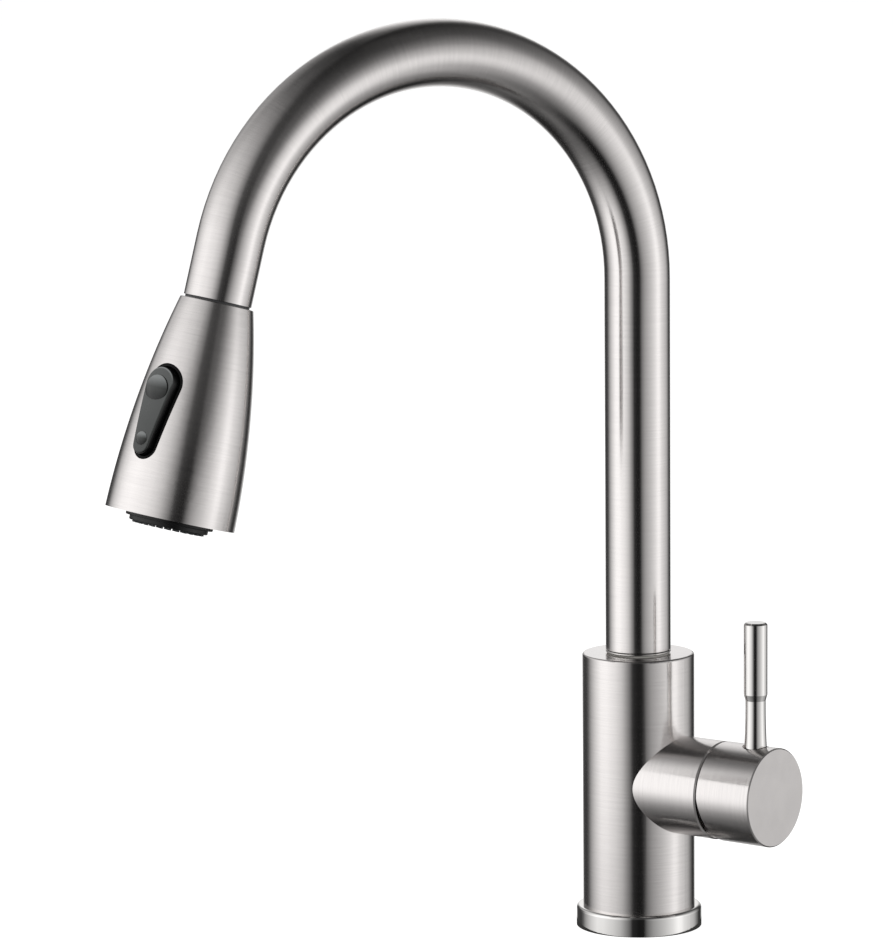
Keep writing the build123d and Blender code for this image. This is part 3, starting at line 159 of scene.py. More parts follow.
def seen_rays(tree: NodeTree) -> NodeSocket:
    """Tell the rays that show a surface from those that only light others.

    Args:
        tree: the nodes of the material or the world.

    Returns:
        Socket of 1 to the eye, in reflections and through clear things, and of 0 for diffuse light.
    """
    rays = add_node(tree, "ShaderNodeLightPath")
    seen = rays.outputs["Is Camera Ray"]
    for kind in ("Is Glossy Ray", "Is Transmission Ray"):
        most = add_node(tree, MATH, {"operation": "MAXIMUM"}, {0: seen, 1: rays.outputs[kind]})
        seen = most.outputs[0]
    return seen


# ---------------------------------------------------------------- finishes
class Grain(Enum):
    """The line about which a piece was turned and brushed."""

    UPRIGHT = "the tap's own axis"
    HANDLE = "the handle's axis"
    SPOUT = "the spout's bent centre line"
    HEAD = "the spray head's axis"


@dataclass(frozen=True)
class GrainSockets:
    """What a brushed metal reads: a place along the grain's line, that line's direction and the normal."""

    place: NodeSocket
    along: NodeSocket
    tangent: NodeSocket
    normal: NodeSocket


def straight_grain(tree: NodeTree, place: NodeSocket, line: Vector) -> GrainSockets:
    """Grain of a piece turned about a straight line.

    Args:
        tree: the material's nodes.
        place: Object coordinates.
        line: direction of the turning axis.

    Returns:
        Sockets of the grain.
    """
    along = add_node(tree, VECTOR_MATH, {"operation": "DOT_PRODUCT"}, {0: place, 1: line})
    turned = add_node(tree, "ShaderNodeVectorTransform",
                      {"vector_type": "VECTOR", "convert_from": "OBJECT", "convert_to": "WORLD"},
                      {"Vector": tuple(line)})
    normal = add_node(tree, "ShaderNodeNewGeometry").outputs["Normal"]
    return GrainSockets(place, along.outputs["Value"], turned.outputs[0], normal)


def rounded_normal(tree: NodeTree, ray: NodeSocket) -> NodeSocket:
    """Normal of a round tube: straight out from its centre line where the mesh's own points nearly so.

    It keeps the tube's reflections smooth across the seam of its mesh.

    Args:
        tree: the material's nodes.
        ray: Object vector from the tube's centre line to the place.

    Returns:
        Socket of the normal.
    """
    starts, takes_over = 0.95, 0.98     # cosines of the angle between the mesh's normal and the round one
    turned = add_node(tree, "ShaderNodeVectorTransform",
                      {"vector_type": "VECTOR", "convert_from": "OBJECT", "convert_to": "WORLD"},
                      {"Vector": ray})
    outward = add_node(tree, VECTOR_MATH, {"operation": "NORMALIZE"}, {0: turned.outputs[0]})
    own = add_node(tree, "ShaderNodeNewGeometry").outputs["Normal"]
    likeness = add_node(tree, VECTOR_MATH, {"operation": "DOT_PRODUCT"},
                        {0: outward.outputs[0], 1: own})
    share = add_node(tree, MAP_RANGE, inputs={
        "Value": likeness.outputs["Value"], "From Min": starts, "From Max": takes_over})
    mix = add_node(tree, MIX, {"data_type": "VECTOR"}, {
        "Factor": share.outputs["Result"], "A": own, "B": outward.outputs[0]})
    return mix.outputs["Result"]


def bent_grain(tree: NodeTree, place: NodeSocket) -> GrainSockets:
    """Grain of the spout: its line rises, bends over and comes down straight.

    The turn is measured from the middle of the arch, so that both straight ends clamp.

    Args:
        tree: the material's nodes.
        place: Object coordinates.

    Returns:
        Sockets of the grain.
    """
    offset = add_node(tree, VECTOR_MATH, {"operation": "SUBTRACT"}, {0: place, 1: BEND_CENTRE})
    out = add_node(tree, VECTOR_MATH, {"operation": "DOT_PRODUCT"}, {0: offset.outputs[0], 1: CROWN})
    on = add_node(tree, VECTOR_MATH, {"operation": "DOT_PRODUCT"}, {0: offset.outputs[0], 1: ONWARD})
    turn = add_node(tree, MATH, {"operation": "ARCTAN2"}, {0: on.outputs["Value"], 1: out.outputs["Value"]})
    kept = add_node(tree, "ShaderNodeClamp", inputs={
        "Value": turn.outputs[0], "Min": -HALF_TURN, "Max": HALF_TURN})
    sine = add_node(tree, MATH, {"operation": "SINE"}, {0: kept.outputs[0]})
    cosine = add_node(tree, MATH, {"operation": "COSINE"}, {0: kept.outputs[0]})
    forward = add_node(tree, VECTOR_MATH, {"operation": "SCALE"}, {0: ONWARD, "Scale": cosine.outputs[0]})
    inward = add_node(tree, VECTOR_MATH, {"operation": "SCALE"}, {0: CROWN, "Scale": sine.outputs[0]})
    line = add_node(tree, VECTOR_MATH, {"operation": "SUBTRACT"},
                    {0: forward.outputs[0], 1: inward.outputs[0]})
    beyond = add_node(tree, VECTOR_MATH, {"operation": "DOT_PRODUCT"},
                      {0: offset.outputs[0], 1: line.outputs[0]})
    along = add_node(tree, MATH, {"operation": "MULTIPLY_ADD"},
                     {0: kept.outputs[0], 1: BEND_R, 2: beyond.outputs["Value"]})
    turned = add_node(tree, "ShaderNodeVectorTransform",
                      {"vector_type": "VECTOR", "convert_from": "OBJECT", "convert_to": "WORLD"},
                      {"Vector": line.outputs[0]})
    spoke = add_node(tree, VECTOR_MATH, {"operation": "SCALE"}, {0: CROWN, "Scale": cosine.outputs[0]})
    spoke = add_node(tree, VECTOR_MATH, {"operation": "MULTIPLY_ADD"},
                     {0: ONWARD, 1: sine.outputs[0], 2: spoke.outputs[0]})
    middle = add_node(tree, VECTOR_MATH, {"operation": "SCALE"},
                      {0: line.outputs[0], "Scale": beyond.outputs["Value"]})
    middle = add_node(tree, VECTOR_MATH, {"operation": "MULTIPLY_ADD"},
                      {0: spoke.outputs[0], 1: (BEND_R, BEND_R, BEND_R), 2: middle.outputs[0]})
    ray = add_node(tree, VECTOR_MATH, {"operation": "SUBTRACT"}, {0: offset.outputs[0], 1: middle.outputs[0]})
    normal = rounded_normal(tree, ray.outputs[0])
    return GrainSockets(place, along.outputs[0], turned.outputs[0], normal)


def read_grain(tree: NodeTree, grain: Grain) -> GrainSockets:
    """Read one of the tap's grains.

    Args:
        tree: the material's nodes.
        grain: the line that the piece was brushed about.

    Returns:
        Sockets of the grain.
    """
    place = add_node(tree, "ShaderNodeTexCoord").outputs["Object"]
    if grain is Grain.SPOUT:
        return bent_grain(tree, place)
    lines = {Grain.UPRIGHT: UP, Grain.HANDLE: Vector((1.0, 0.0, 0.0)), Grain.HEAD: HEAD_AXIS}
    return straight_grain(tree, place, lines[grain])


@dataclass(frozen=True)
class BrushedNickel:
    """Nickel plate over brass, brushed round the piece and sealed.

    To the eye it is satin, with bands that stay crisp across the piece and blur along it.
    """

    grain: Grain
    roughness: float
    dark: str = "#dad6d5"       # tint in a brush line
    pale: str = "#f1edeb"       # and beside it
    spread: float = 0.035       # how far the roughness strays from line to line
    anisotropy: float = 0.6
    line: float = 0.6 * MM      # spacing of the coarsest brush lines; real ones are too fine to show
    streak: float = 16 * MM     # length of a brush line round the piece
    depth: float = 0.02 * MM    # of a brush line
    clouds: float = 22.0        # slow changes in the brushing, per metre
    cloudy: float = 0.5         # their share beside the lines'
    flat_from: float = 0.75     # how squarely a face ends the piece where its grain begins to fade
    flat_full: float = 0.95     # and where none is left

    def material(self) -> Material:
        """Make the material.

        Returns:
            The material, named for its grain.
        """
        material, tree = new_material(f"BrushedNickel_{self.grain.name.title()}")
        sockets = read_grain(tree, self.grain)
        lines = add_node(tree, MATH, {"operation": "MULTIPLY"},
                         {0: sockets.along, 1: self.streak / self.line})
        noise = add_node(tree, NOISE, {"noise_dimensions": "4D"},
                         {"Vector": sockets.place, "W": lines.outputs[0], "Scale": 1 / self.streak,
                          "Detail": 3.0, "Roughness": 0.6})
        clouds = add_node(tree, NOISE, inputs={
            "Vector": sockets.place, "Scale": self.clouds, "Detail": 2.0})
        blend = add_node(tree, MATH, {"operation": "MULTIPLY_ADD"},
                         {0: clouds.outputs["Fac"], 1: self.cloudy, 2: noise.outputs["Fac"]})
        rough = add_node(tree, MAP_RANGE, inputs={
            "Value": blend.outputs[0], "From Min": 0.4, "From Max": 1.1,
            "To Min": self.roughness - self.spread, "To Max": self.roughness + self.spread})
        tint = add_node(tree, MIX, {"data_type": "RGBA"}, {
            "Factor": noise.outputs["Fac"], "A": linear(self.dark), "B": linear(self.pale)})
        bump = add_node(tree, BUMP, inputs={
            "Height": noise.outputs["Fac"], "Strength": 0.15, "Distance": self.depth,
            "Normal": sockets.normal})
        shader = add_node(tree, PRINCIPLED, inputs={
            "Base Color": tint.outputs["Result"], "Metallic": 1.0, "Roughness": rough.outputs["Result"],
            "Anisotropic": self.anisotropy, "Tangent": sockets.tangent, "Normal": bump.outputs[0]})
        flat = add_node(tree, PRINCIPLED, inputs={
            "Base Color": tint.outputs["Result"], "Metallic": 1.0, "Roughness": rough.outputs["Result"],
            "Normal": bump.outputs[0]})
        own = add_node(tree, "ShaderNodeNewGeometry").outputs["Normal"]
        facing = add_node(tree, VECTOR_MATH, {"operation": "DOT_PRODUCT"},
                          {0: own, 1: sockets.tangent})
        squareness = add_node(tree, MATH, {"operation": "ABSOLUTE"}, {0: facing.outputs["Value"]})
        share = add_node(tree, MAP_RANGE, inputs={
            "Value": squareness.outputs[0], "From Min": self.flat_from, "From Max": self.flat_full})
        mix = add_node(tree, "ShaderNodeMixShader", inputs={
            "Fac": share.outputs["Result"], 1: shader.outputs[0], 2: flat.outputs[0]})
        close_material(tree, mix.outputs[0])
        return material


@dataclass(frozen=True)
class PolishedMetal:
    """Turned or plated metal with a fine polish.

    To the eye it has clear reflections, faint smears and hairline wear round the Z axis.
    """

    name: str
    colour: str
    roughness: float
    wear: float = 0.03          # how far the roughness strays
    smears: float = 60.0        # per metre
    hair: float = 3500.0        # hairlines per metre of height
    hair_run: float = 150.0     # and per metre round the piece
    hair_share: float = 0.4     # their share beside the smears'
    pitch: float = 0.0          # of a thread cut about the Z axis, where there is one

    def material(self) -> Material:
        """Make the material.

        Returns:
            The material.
        """
        material, tree = new_material(self.name)
        place = add_node(tree, "ShaderNodeTexCoord").outputs["Object"]
        smears = add_node(tree, NOISE, inputs={"Vector": place, "Scale": self.smears, "Detail": 3.0})
        stretch = add_node(tree, "ShaderNodeMapping", inputs={
            "Vector": place, "Scale": (self.hair_run, self.hair_run, self.hair)})
        hairs = add_node(tree, NOISE, inputs={"Vector": stretch.outputs[0], "Scale": 1.0, "Detail": 2.0})
        blend = add_node(tree, MATH, {"operation": "MULTIPLY_ADD"},
                         {0: hairs.outputs["Fac"], 1: self.hair_share, 2: smears.outputs["Fac"]})
        rough = add_node(tree, MAP_RANGE, inputs={
            "Value": blend.outputs[0], "From Min": 0.4, "From Max": 1.0,
            "To Min": self.roughness - self.wear, "To Max": self.roughness + self.wear})
        bump = add_node(tree, BUMP, inputs={
            "Height": hairs.outputs["Fac"], "Strength": 0.06, "Distance": 0.01 * MM})
        normal = self.thread(tree, place, bump.outputs[0]) if self.pitch else bump.outputs[0]
        shader = add_node(tree, PRINCIPLED, inputs={
            "Base Color": linear(self.colour), "Metallic": 1.0, "Roughness": rough.outputs["Result"],
            "Normal": normal})
        close_material(tree, shader.outputs[0])
        return material

    def thread(self, tree: NodeTree, place: NodeSocket, normal: NodeSocket) -> NodeSocket:
        """Add a right-hand thread: one ridge that winds up round the Z axis.

        Args:
            tree: the material's nodes.
            place: Object coordinates.
            normal: normal with the finer bumps.

        Returns:
            Socket of the normal with the thread.
        """
        parts = add_node(tree, "ShaderNodeSeparateXYZ", inputs={0: place})
        angle = add_node(tree, MATH, {"operation": "ARCTAN2"},
                         {0: parts.outputs["Y"], 1: parts.outputs["X"]})
        turns = add_node(tree, MATH, {"operation": "MULTIPLY"},
                         {0: angle.outputs[0], 1: -1 / (2 * pi)})
        phase = add_node(tree, MATH, {"operation": "MULTIPLY_ADD"},
                         {0: parts.outputs["Z"], 1: 1 / self.pitch, 2: turns.outputs[0]})
        ridge = add_node(tree, MATH, {"operation": "PINGPONG"}, {0: phase.outputs[0], 1: 0.5})
        bump = add_node(tree, BUMP, inputs={
            "Height": ridge.outputs[0], "Distance": self.pitch, "Normal": normal})
        return bump.outputs[0]


@dataclass(frozen=True)
class Moulded:
    """Moulded plastic or rubber, or pressed ceramic.

    To the eye it has an even colour, a fine texture from the mould and slight mottling.
    """

    name: str
    colour: str
    mottle: str                 # colour of the mottling
    roughness: float
    patches: float = 90.0       # of mottling, per metre
    spread: float = 0.05        # how far the roughness strays from patch to patch
    grain: float = 0.35 * MM    # spacing of the mould's texture
    depth: float = 0.01 * MM    # of that texture
    ior: float = 1.5

    def material(self) -> Material:
        """Make the material.

        Returns:
            The material.
        """
        material, tree = new_material(self.name)
        place = add_node(tree, "ShaderNodeTexCoord").outputs["Object"]
        patches = add_node(tree, NOISE, inputs={"Vector": place, "Scale": self.patches, "Detail": 3.0})
        grain = add_node(tree, NOISE, inputs={"Vector": place, "Scale": 1 / self.grain, "Detail": 1.0})
        tint = add_node(tree, MIX, {"data_type": "RGBA"}, {
            "Factor": patches.outputs["Fac"], "A": linear(self.colour), "B": linear(self.mottle)})
        rough = add_node(tree, MAP_RANGE, inputs={
            "Value": patches.outputs["Fac"], "From Min": 0.3, "From Max": 0.7,
            "To Min": self.roughness - self.spread, "To Max": self.roughness + self.spread})
        bump = add_node(tree, BUMP, inputs={
            "Height": grain.outputs["Fac"], "Strength": 0.5, "Distance": self.depth})
        shader = add_node(tree, PRINCIPLED, inputs={
            "Base Color": tint.outputs["Result"], "Roughness": rough.outputs["Result"], "IOR": self.ior,
            "Normal": bump.outputs[0]})
        close_material(tree, shader.outputs[0])
        return material


@dataclass(frozen=True)
class ButtonRubber:
    """Moulded elastomer skin of the button.

    To the eye it is a grey satin face. Painted shade makes its side walls black, and the two domes show
    through painted highlight on their upper flanks and painted shade on their lower flanks.
    """

    face: str = "#4a4c4b"
    # edge: painted shade that makes the side walls black
    edge: str = "#070708"
    polished: str = "#8d9090"   # painted highlight on the domes' upper flanks
    painted_shade: str = "#161718"      # painted shade on the domes' lower flanks
    roughness: float = 0.3
    patches: float = 120.0      # where the skin is smoother or rougher, per metre
    spread: float = 0.04        # how far the roughness strays from patch to patch
    ior: float = 1.48
    outward: Vector = Vector((0.025623, -0.971751, 0.234613))   # square to the face
    upward: Vector = Vector((0.1, 0.236, 0.966))                # up along the face
    side_shade_to: float = 0.3        # turn towards outward at which the painted shade on the side walls ends
    face_from: float = 0.55     # and at which the face is all grey
    painted_light_from: float = 0.06    # turn along the face at which the painted highlight above and the painted shade below start on a dome's flank
    painted_light_full: float = 0.5     # and at which they are at full strength

    def material(self) -> Material:
        """Make the material.

        Returns:
            The material.
        """
        material, tree = new_material("ButtonRubber")
        place = add_node(tree, "ShaderNodeTexCoord")
        # painted shade: where the normal turns away from outward, on the side walls, the skin is made black
        facing = add_node(tree, VECTOR_MATH, {"operation": "DOT_PRODUCT"},
                          {0: place.outputs["Normal"], 1: self.outward})
        share = add_node(tree, MAP_RANGE, inputs={
            "Value": facing.outputs["Value"], "From Min": self.side_shade_to, "From Max": self.face_from})
        patches = add_node(tree, NOISE, inputs={
            "Vector": place.outputs["Object"], "Scale": self.patches, "Detail": 3.0})
        # painted light: flanks that tilt up along the face are made paler, as if lit from above, and flanks
        # that tilt down are made darker, as if in shade
        lit_tilt = add_node(tree, VECTOR_MATH, {"operation": "DOT_PRODUCT"},
                          {0: place.outputs["Normal"], 1: self.upward})
        above = add_node(tree, MAP_RANGE, inputs={
            "Value": lit_tilt.outputs["Value"], "From Min": self.painted_light_from, "From Max": self.painted_light_full})
        painted_shade_share = add_node(tree, MAP_RANGE, inputs={
            "Value": lit_tilt.outputs["Value"], "From Min": -self.painted_light_from, "From Max": -self.painted_light_full})
        highlit_skin = add_node(tree, MIX, {"data_type": "RGBA"}, {
            "Factor": above.outputs["Result"], "A": linear(self.face), "B": linear(self.polished)})
        skin = add_node(tree, MIX, {"data_type": "RGBA"}, {
            "Factor": painted_shade_share.outputs["Result"], "A": highlit_skin.outputs["Result"], "B": linear(self.painted_shade)})
        tint = add_node(tree, MIX, {"data_type": "RGBA"}, {
            "Factor": share.outputs["Result"], "A": linear(self.edge), "B": skin.outputs["Result"]})
        rough = add_node(tree, MAP_RANGE, inputs={
            "Value": patches.outputs["Fac"], "From Min": 0.3, "From Max": 0.7,
            "To Min": self.roughness - self.spread, "To Max": self.roughness + self.spread})
        shader = add_node(tree, PRINCIPLED, inputs={
            "Base Color": tint.outputs["Result"], "Roughness": rough.outputs["Result"], "IOR": self.ior})
        close_material(tree, shader.outputs[0])
        return material


@dataclass(frozen=True)
class BraidedNylon:
    """Sleeve braided from grey nylon yarn.

    To the eye it is a dull net of strands that cross over and under each other, with dark gaps.
    """

    colour: str = "#8d8f91"
    gap: str = "#2b2c2e"
    strand: float = 1.1 * MM    # width of a strand's weave, from crossing to crossing
    around: int = 16            # strands that wind each way
    depth: float = 0.3 * MM     # from a strand's top to the gap

    def material(self) -> Material:
        """Make the material; it reads a UV map of turns round the hose and metres along it.

        Returns:
            The material.
        """
        material, tree = new_material("BraidedNylon")
        uv = add_node(tree, "ShaderNodeUVMap", {"uv_map": "Braid"})
        parts = add_node(tree, "ShaderNodeSeparateXYZ", inputs={0: uv.outputs[0]})
        waves = []
        for way in (1.0, -1.0):
            turns = add_node(tree, MATH, {"operation": "MULTIPLY"},
                             {0: parts.outputs["X"], 1: way * self.around})
            phase = add_node(tree, MATH, {"operation": "MULTIPLY_ADD"},
                             {0: parts.outputs["Y"], 1: 1 / (2 * self.strand), 2: turns.outputs[0]})
            wave = add_node(tree, MATH, {"operation": "PINGPONG"}, {0: phase.outputs[0], 1: 0.5})
            waves.append(wave.outputs[0])
        over = add_node(tree, MATH, {"operation": "MAXIMUM"}, {0: waves[0], 1: waves[1]})
        height = add_node(tree, MAP_RANGE, {"interpolation_type": "SMOOTHSTEP"},
                          {"Value": over.outputs[0], "From Min": 0.1, "From Max": 0.45})
        tint = add_node(tree, MIX, {"data_type": "RGBA"}, {
            "Factor": height.outputs["Result"], "A": linear(self.gap), "B": linear(self.colour)})
        bump = add_node(tree, BUMP, inputs={
            "Height": height.outputs["Result"], "Strength": 0.8, "Distance": self.depth})
        shader = add_node(tree, PRINCIPLED, inputs={
            "Base Color": tint.outputs["Result"], "Roughness": 0.55, "Sheen Weight": 0.2,
            "Sheen Roughness": 0.4, "Normal": bump.outputs[0]})
        close_material(tree, shader.outputs[0])
        return material


class Finishes:
    """Every finish of the tap, made once."""

    def __init__(self) -> None:
        """Make the materials."""
        # Satin bands round each outer piece; on the head and the handle they are softer than elsewhere.
        softer = {Grain.HEAD: 0.19, Grain.HANDLE: 0.21}
        self.brushed = {grain: BrushedNickel(grain, softer.get(grain, 0.17)).material() for grain in Grain}
        # Plated and buffed: the lever and the rings shine more than what they join.
        self.nickel = PolishedMetal("PolishedNickel", "#ebe9e7", 0.12).material()
        # Plated over a lapped face: the flange mirrors the body and the worktop.
        self.mirror = PolishedMetal("MirrorNickel", "#f3f1ef", 0.05, 0.015).material()
        # Rolled or drawn and left as it is: grey, with blurred reflections.
        self.steel = PolishedMetal("StainlessSteel", "#c4c4c6", 0.28, 0.06).material()
        # Turned and never plated: yellow and dull, and with a thread's ridges on the shank.
        self.brass = PolishedMetal("TurnedBrass", "#c9a35c", 0.3, 0.08).material()
        self.thread = PolishedMetal("ThreadedBrass", "#c9a35c", 0.3, 0.08, pitch=1.5 * MM).material()
        # Moulded ABS: black with a soft shine on the head's end, and nearly without one round the button.
        self.black = Moulded("BlackAbs", "#0d0e0f", "#131415", 0.38).material()
        self.soot = Moulded("SootAbs", "#070708", "#0b0b0c", 0.55, ior=1.25).material()
        self.button = ButtonRubber().material()
        # Moulded acetal: waxy; smoke grey at the seam, and paler on the pieces that nobody sees.
        self.smoke = Moulded("SmokeAcetal", "#59595b", "#626264", 0.35).material()
        self.grey = Moulded("GreyAcetal", "#8b8d8f", "#949698", 0.42).material()
        self.white = Moulded("WhiteAcetal", "#e4e3de", "#dcdbd5", 0.4).material()
        # Moulded rubbers: the seals are black and matt, the nozzles grey and a little glossy.
        self.rubber = Moulded("BlackEpdm", "#161616", "#1e1e1e", 0.62, grain=0.5 * MM,
                              depth=0.03 * MM).material()
        self.silicone = Moulded("GreySilicone", "#5d6062", "#686b6d", 0.5, ior=1.43).material()
        # Pressed, fired and lapped: ivory white with a sharp shine.
        self.ceramic = Moulded("LappedAlumina", "#efece4", "#e7e3d8", 0.18, ior=1.76).material()
        self.braid = BraidedNylon().material()


def paint(material: Material, *nodes: str) -> None:
    """Put a material on CAD nodes, in all their slots.

    Args:
        material: the finish.
        nodes: the nodes' names.
    """
    for name in nodes:
        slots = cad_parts[name].data.materials
        if not slots:
            slots.append(material)
        for i in range(len(slots)):
            slots[i] = material
        LOG.info("dressed %s in %s", name, material.name)


# ---------------------------------------------------------------- mesh helpers
def new_object(name: str, mesh: BMesh, material: Material) -> Object:
    """Make an object from a bmesh, with one material.

    Args:
        name: the object's name.
        mesh: its shape, freed here.
        material: its finish.

    Returns:
        The object, at the origin.
    """
    data = bpy.data.meshes.new(name)
    mesh.to_mesh(data)
    mesh.free()
    data.materials.append(material)
    made = bpy.data.objects.new(name, data)
    bpy.context.scene.collection.objects.link(made)
    return made


# ---------------------------------------------------------------- sub-assemblies
@dataclass
class Base:
    """What stands on the worktop and what clamps it: flange, body, boss, shank and its nut."""

    finishes: Finishes

    def dress(self) -> None:
        """Put finishes on the base's CAD nodes."""
        f = self.finishes
        paint(f.brushed[Grain.UPRIGHT], "body_tube")
        paint(f.brushed[Grain.HANDLE], "side_boss", "bonnet_ring")
        paint(f.mirror, "base_flange")
        paint(f.thread, "mounting_shank")
        paint(f.brass, "mounting_nut", "valve_block", "cartridge_nut")
        paint(f.steel, "steel_washer")
        paint(f.rubber, "base_gasket", "rubber_washer", "port_seals")
        paint(f.white, "spout_bearing", "cartridge_base")
        paint(f.grey, "cartridge_housing")
        paint(f.ceramic, "fixed_disc")


@dataclass
class Handle:
    """Side handle and the moving half of its cartridge."""

    finishes: Finishes

    def dress(self) -> None:
        """Put finishes on the handle's CAD nodes."""
        f = self.finishes
        paint(f.brushed[Grain.HANDLE], "handle_hub")
        paint(f.nickel, "lever", "hub_plug")
        paint(f.steel, "set_screw", "pivot_pin")
        paint(f.brass, "stem")
        paint(f.grey, "disc_driver", "stem_guide")
        paint(f.ceramic, "moving_disc")


@dataclass
class Spout:
    """High arched spout that turns in the body."""

    finishes: Finishes

    def dress(self) -> None:
        """Put finishes on the spout's CAD nodes."""
        f = self.finishes
        paint(f.brushed[Grain.SPOUT], "spout_tube")
        paint(f.nickel, "foot_ring")
        paint(f.brass, "spout_foot")
        paint(f.steel, "retaining_clip")
        paint(f.black, "foot_washer")
        paint(f.smoke, "dock_collar")
        paint(f.rubber, "swivel_o_rings")


@dataclass
class Hose:
    """Braided hose: it stands in the spout, and its last stretch runs from the arch's end into the head's
    ferrule.
    """

    finishes: Finishes
    radius: float = 5.25 * MM
    bottom: float = -66.0 * MM      # height at which it ends, under the worktop
    ferrule: float = 9.0 * MM       # how far the ferrule reaches above the seam
    sunk: float = 12.0 * MM         # how far the hose goes into the ferrule
    pull: float = 0.45              # how much longer the last stretch is once it is pulled out
    sides: int = 32                 # round the hose
    steps: int = 40                 # along each straight stretch, and twice as many round the arch

    def build(self) -> None:
        """Make both stretches, put the standing one on the spout's body and let them stand for the CAD hose.
        """
        standing = self.standing_stretch()
        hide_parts("spray_hose")
        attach(standing, "spout")
        running = self.running_stretch()
        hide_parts("spray_hose")
        start, end = self.run()
        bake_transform(running)

    def run(self) -> tuple[Vector, Vector]:
        """Ends of the stretch that runs out: the arch's end and the ferrule."""
        return BEND_END.copy(), SEAM - HEAD_AXIS * self.ferrule

    def circle(self, mesh: BMesh, centre: Vector, line: Vector) -> list[BMEdge]:
        """Add a circle of edges about a line.

        Args:
            mesh: bmesh that takes it.
            centre: its middle.
            line: direction that it faces.

        Returns:
            Its edges.
        """
        turn = line.to_track_quat("Z", "Y").to_matrix().to_4x4()
        made = bmesh.ops.create_circle(mesh, segments=self.sides, radius=self.radius,
                                       matrix=Matrix.Translation(centre) @ turn)
        return list({edge for vert in made["verts"] for edge in vert.link_edges})

    def extend(self, mesh: BMesh, edges: list[BMEdge], offset: Vector) -> list[BMEdge]:
        """Extrude a circle of edges.

        Args:
            mesh: bmesh that has it.
            edges: the circle.
            offset: how far and which way.

        Returns:
            The new circle's edges.
        """
        made = bmesh.ops.extrude_edge_only(mesh, edges=edges)["geom"]
        verts = [item for item in made if isinstance(item, BMVert)]
        bmesh.ops.translate(mesh, vec=offset, verts=verts)
        ring = set(verts)
        return [item for item in made if isinstance(item, BMEdge) and set(item.verts) <= ring]

    def standing_stretch(self) -> Object:
        """Make the hose from under the worktop to the arch's end.

        Returns:
            The piece.
        """
        mesh = bmesh.new()
        edges = self.circle(mesh, UP * self.bottom, UP)
        rise = (BEND_Z - self.bottom) / self.steps
        for _ in range(self.steps):
            edges = self.extend(mesh, edges, UP * rise)
        bmesh.ops.spin(mesh, geom=edges, cent=BEND_CENTRE, axis=SIDEWAYS, angle=BEND_TURN,
                       steps=2 * self.steps, use_duplicate=False, use_merge=False)
        self.mark_braid(mesh, None)
        return self.finish("HoseStanding", mesh)

    def running_stretch(self) -> Object:
        """Make the hose from the arch's end into the ferrule.

        Returns:
            The piece.
        """
        start, end = self.run()
        mesh = bmesh.new()
        edges = self.circle(mesh, start, HEAD_AXIS)
        step = (end - start) / self.steps
        for _ in range(self.steps):
            edges = self.extend(mesh, edges, step)
        self.extend(mesh, edges, HEAD_AXIS * self.sunk)
        self.mark_braid(mesh, (start, end))
        return self.finish("HoseRunning", mesh)

    def finish(self, name: str, mesh: BMesh) -> Object:
        """Make a piece of a stretch of hose, smooth and braided.

        Args:
            name: the piece's name.
            mesh: its shape, freed here.

        Returns:
            The piece, at the origin.
        """
        bmesh.ops.recalc_face_normals(mesh, faces=mesh.faces)
        for face in mesh.faces:
            face.smooth = True
        piece = new_object(name, mesh, self.finishes.braid)
        LOG.info("made %s: %d faces", name, len(piece.data.polygons))
        return piece

    def mark_braid(self, mesh: BMesh, run: tuple[Vector, Vector] | None) -> None:
        """Write the braid's UV map: turns round the hose, and metres along it once it is pulled out.

        Args:
            mesh: the hose.
            run: ends of the stretch that grows with the pull, or None.
        """
        layer = mesh.loops.layers.uv.new("Braid")
        for face in mesh.faces:
            turns = []
            for loop in face.loops:
                offset = loop.vert.co - BEND_CENTRE
                turn = max(-HALF_TURN, min(HALF_TURN, atan2(offset.dot(ONWARD), offset.dot(CROWN))))
                line = ONWARD * cos(turn) - CROWN * sin(turn)
                radial = CROWN * cos(turn) + ONWARD * sin(turn)
                along = BEND_R * turn + offset.dot(line)
                if run:
                    along += self.pull * self.stretch_share(loop.vert.co, *run)
                around = atan2(offset.dot(SIDEWAYS), offset.dot(radial) - BEND_R) / (2 * pi)
                turns.append(around)
                loop[layer].uv = (around, along)
            if max(turns) - min(turns) > 0.5:   # the face crosses the map's join
                for loop in face.loops:
                    if loop[layer].uv.x < 0:
                        loop[layer].uv.x += 1.0

    def stretch_share(self, place: Vector, start: Vector, end: Vector) -> float:
        """How much of the head's pull a place on the running stretch follows.

        Args:
            place: the place.
            start: where nothing follows.
            end: where all of it does.

        Returns:
            A share from 0 to 1, which turns smoothly between the ends.
        """
        line = end - start
        share = max(0.0, min(1.0, (place - start).dot(line) / line.length_squared))
        return share * share * (3 - 2 * share)


@dataclass
class SprayHead:
    """Pull-down spray head with its rocker button, waterways and spray face."""

    finishes: Finishes

    def dress(self) -> None:
        """Put finishes on the head's CAD nodes."""
        f = self.finishes
        paint(f.brushed[Grain.HEAD], "head_shell")
        paint(f.steel, "hose_ferrule", "rocker_pin", "aerator_screen")
        paint(f.brass, "hose_nipple", "swivel_nut")
        paint(f.rubber, "hose_washer", "spool_o_rings", "face_o_ring")
        paint(f.white, "inlet_filter", "check_valve", "diverter_spool")
        paint(f.grey, "head_core", "aerator_housing")
        paint(f.black, "dock_plug", "spray_face", "nozzle_plate")
        paint(f.soot, "button_bezel")
        paint(f.button, "rocker_button")
        paint(f.silicone, "nozzle_mat")


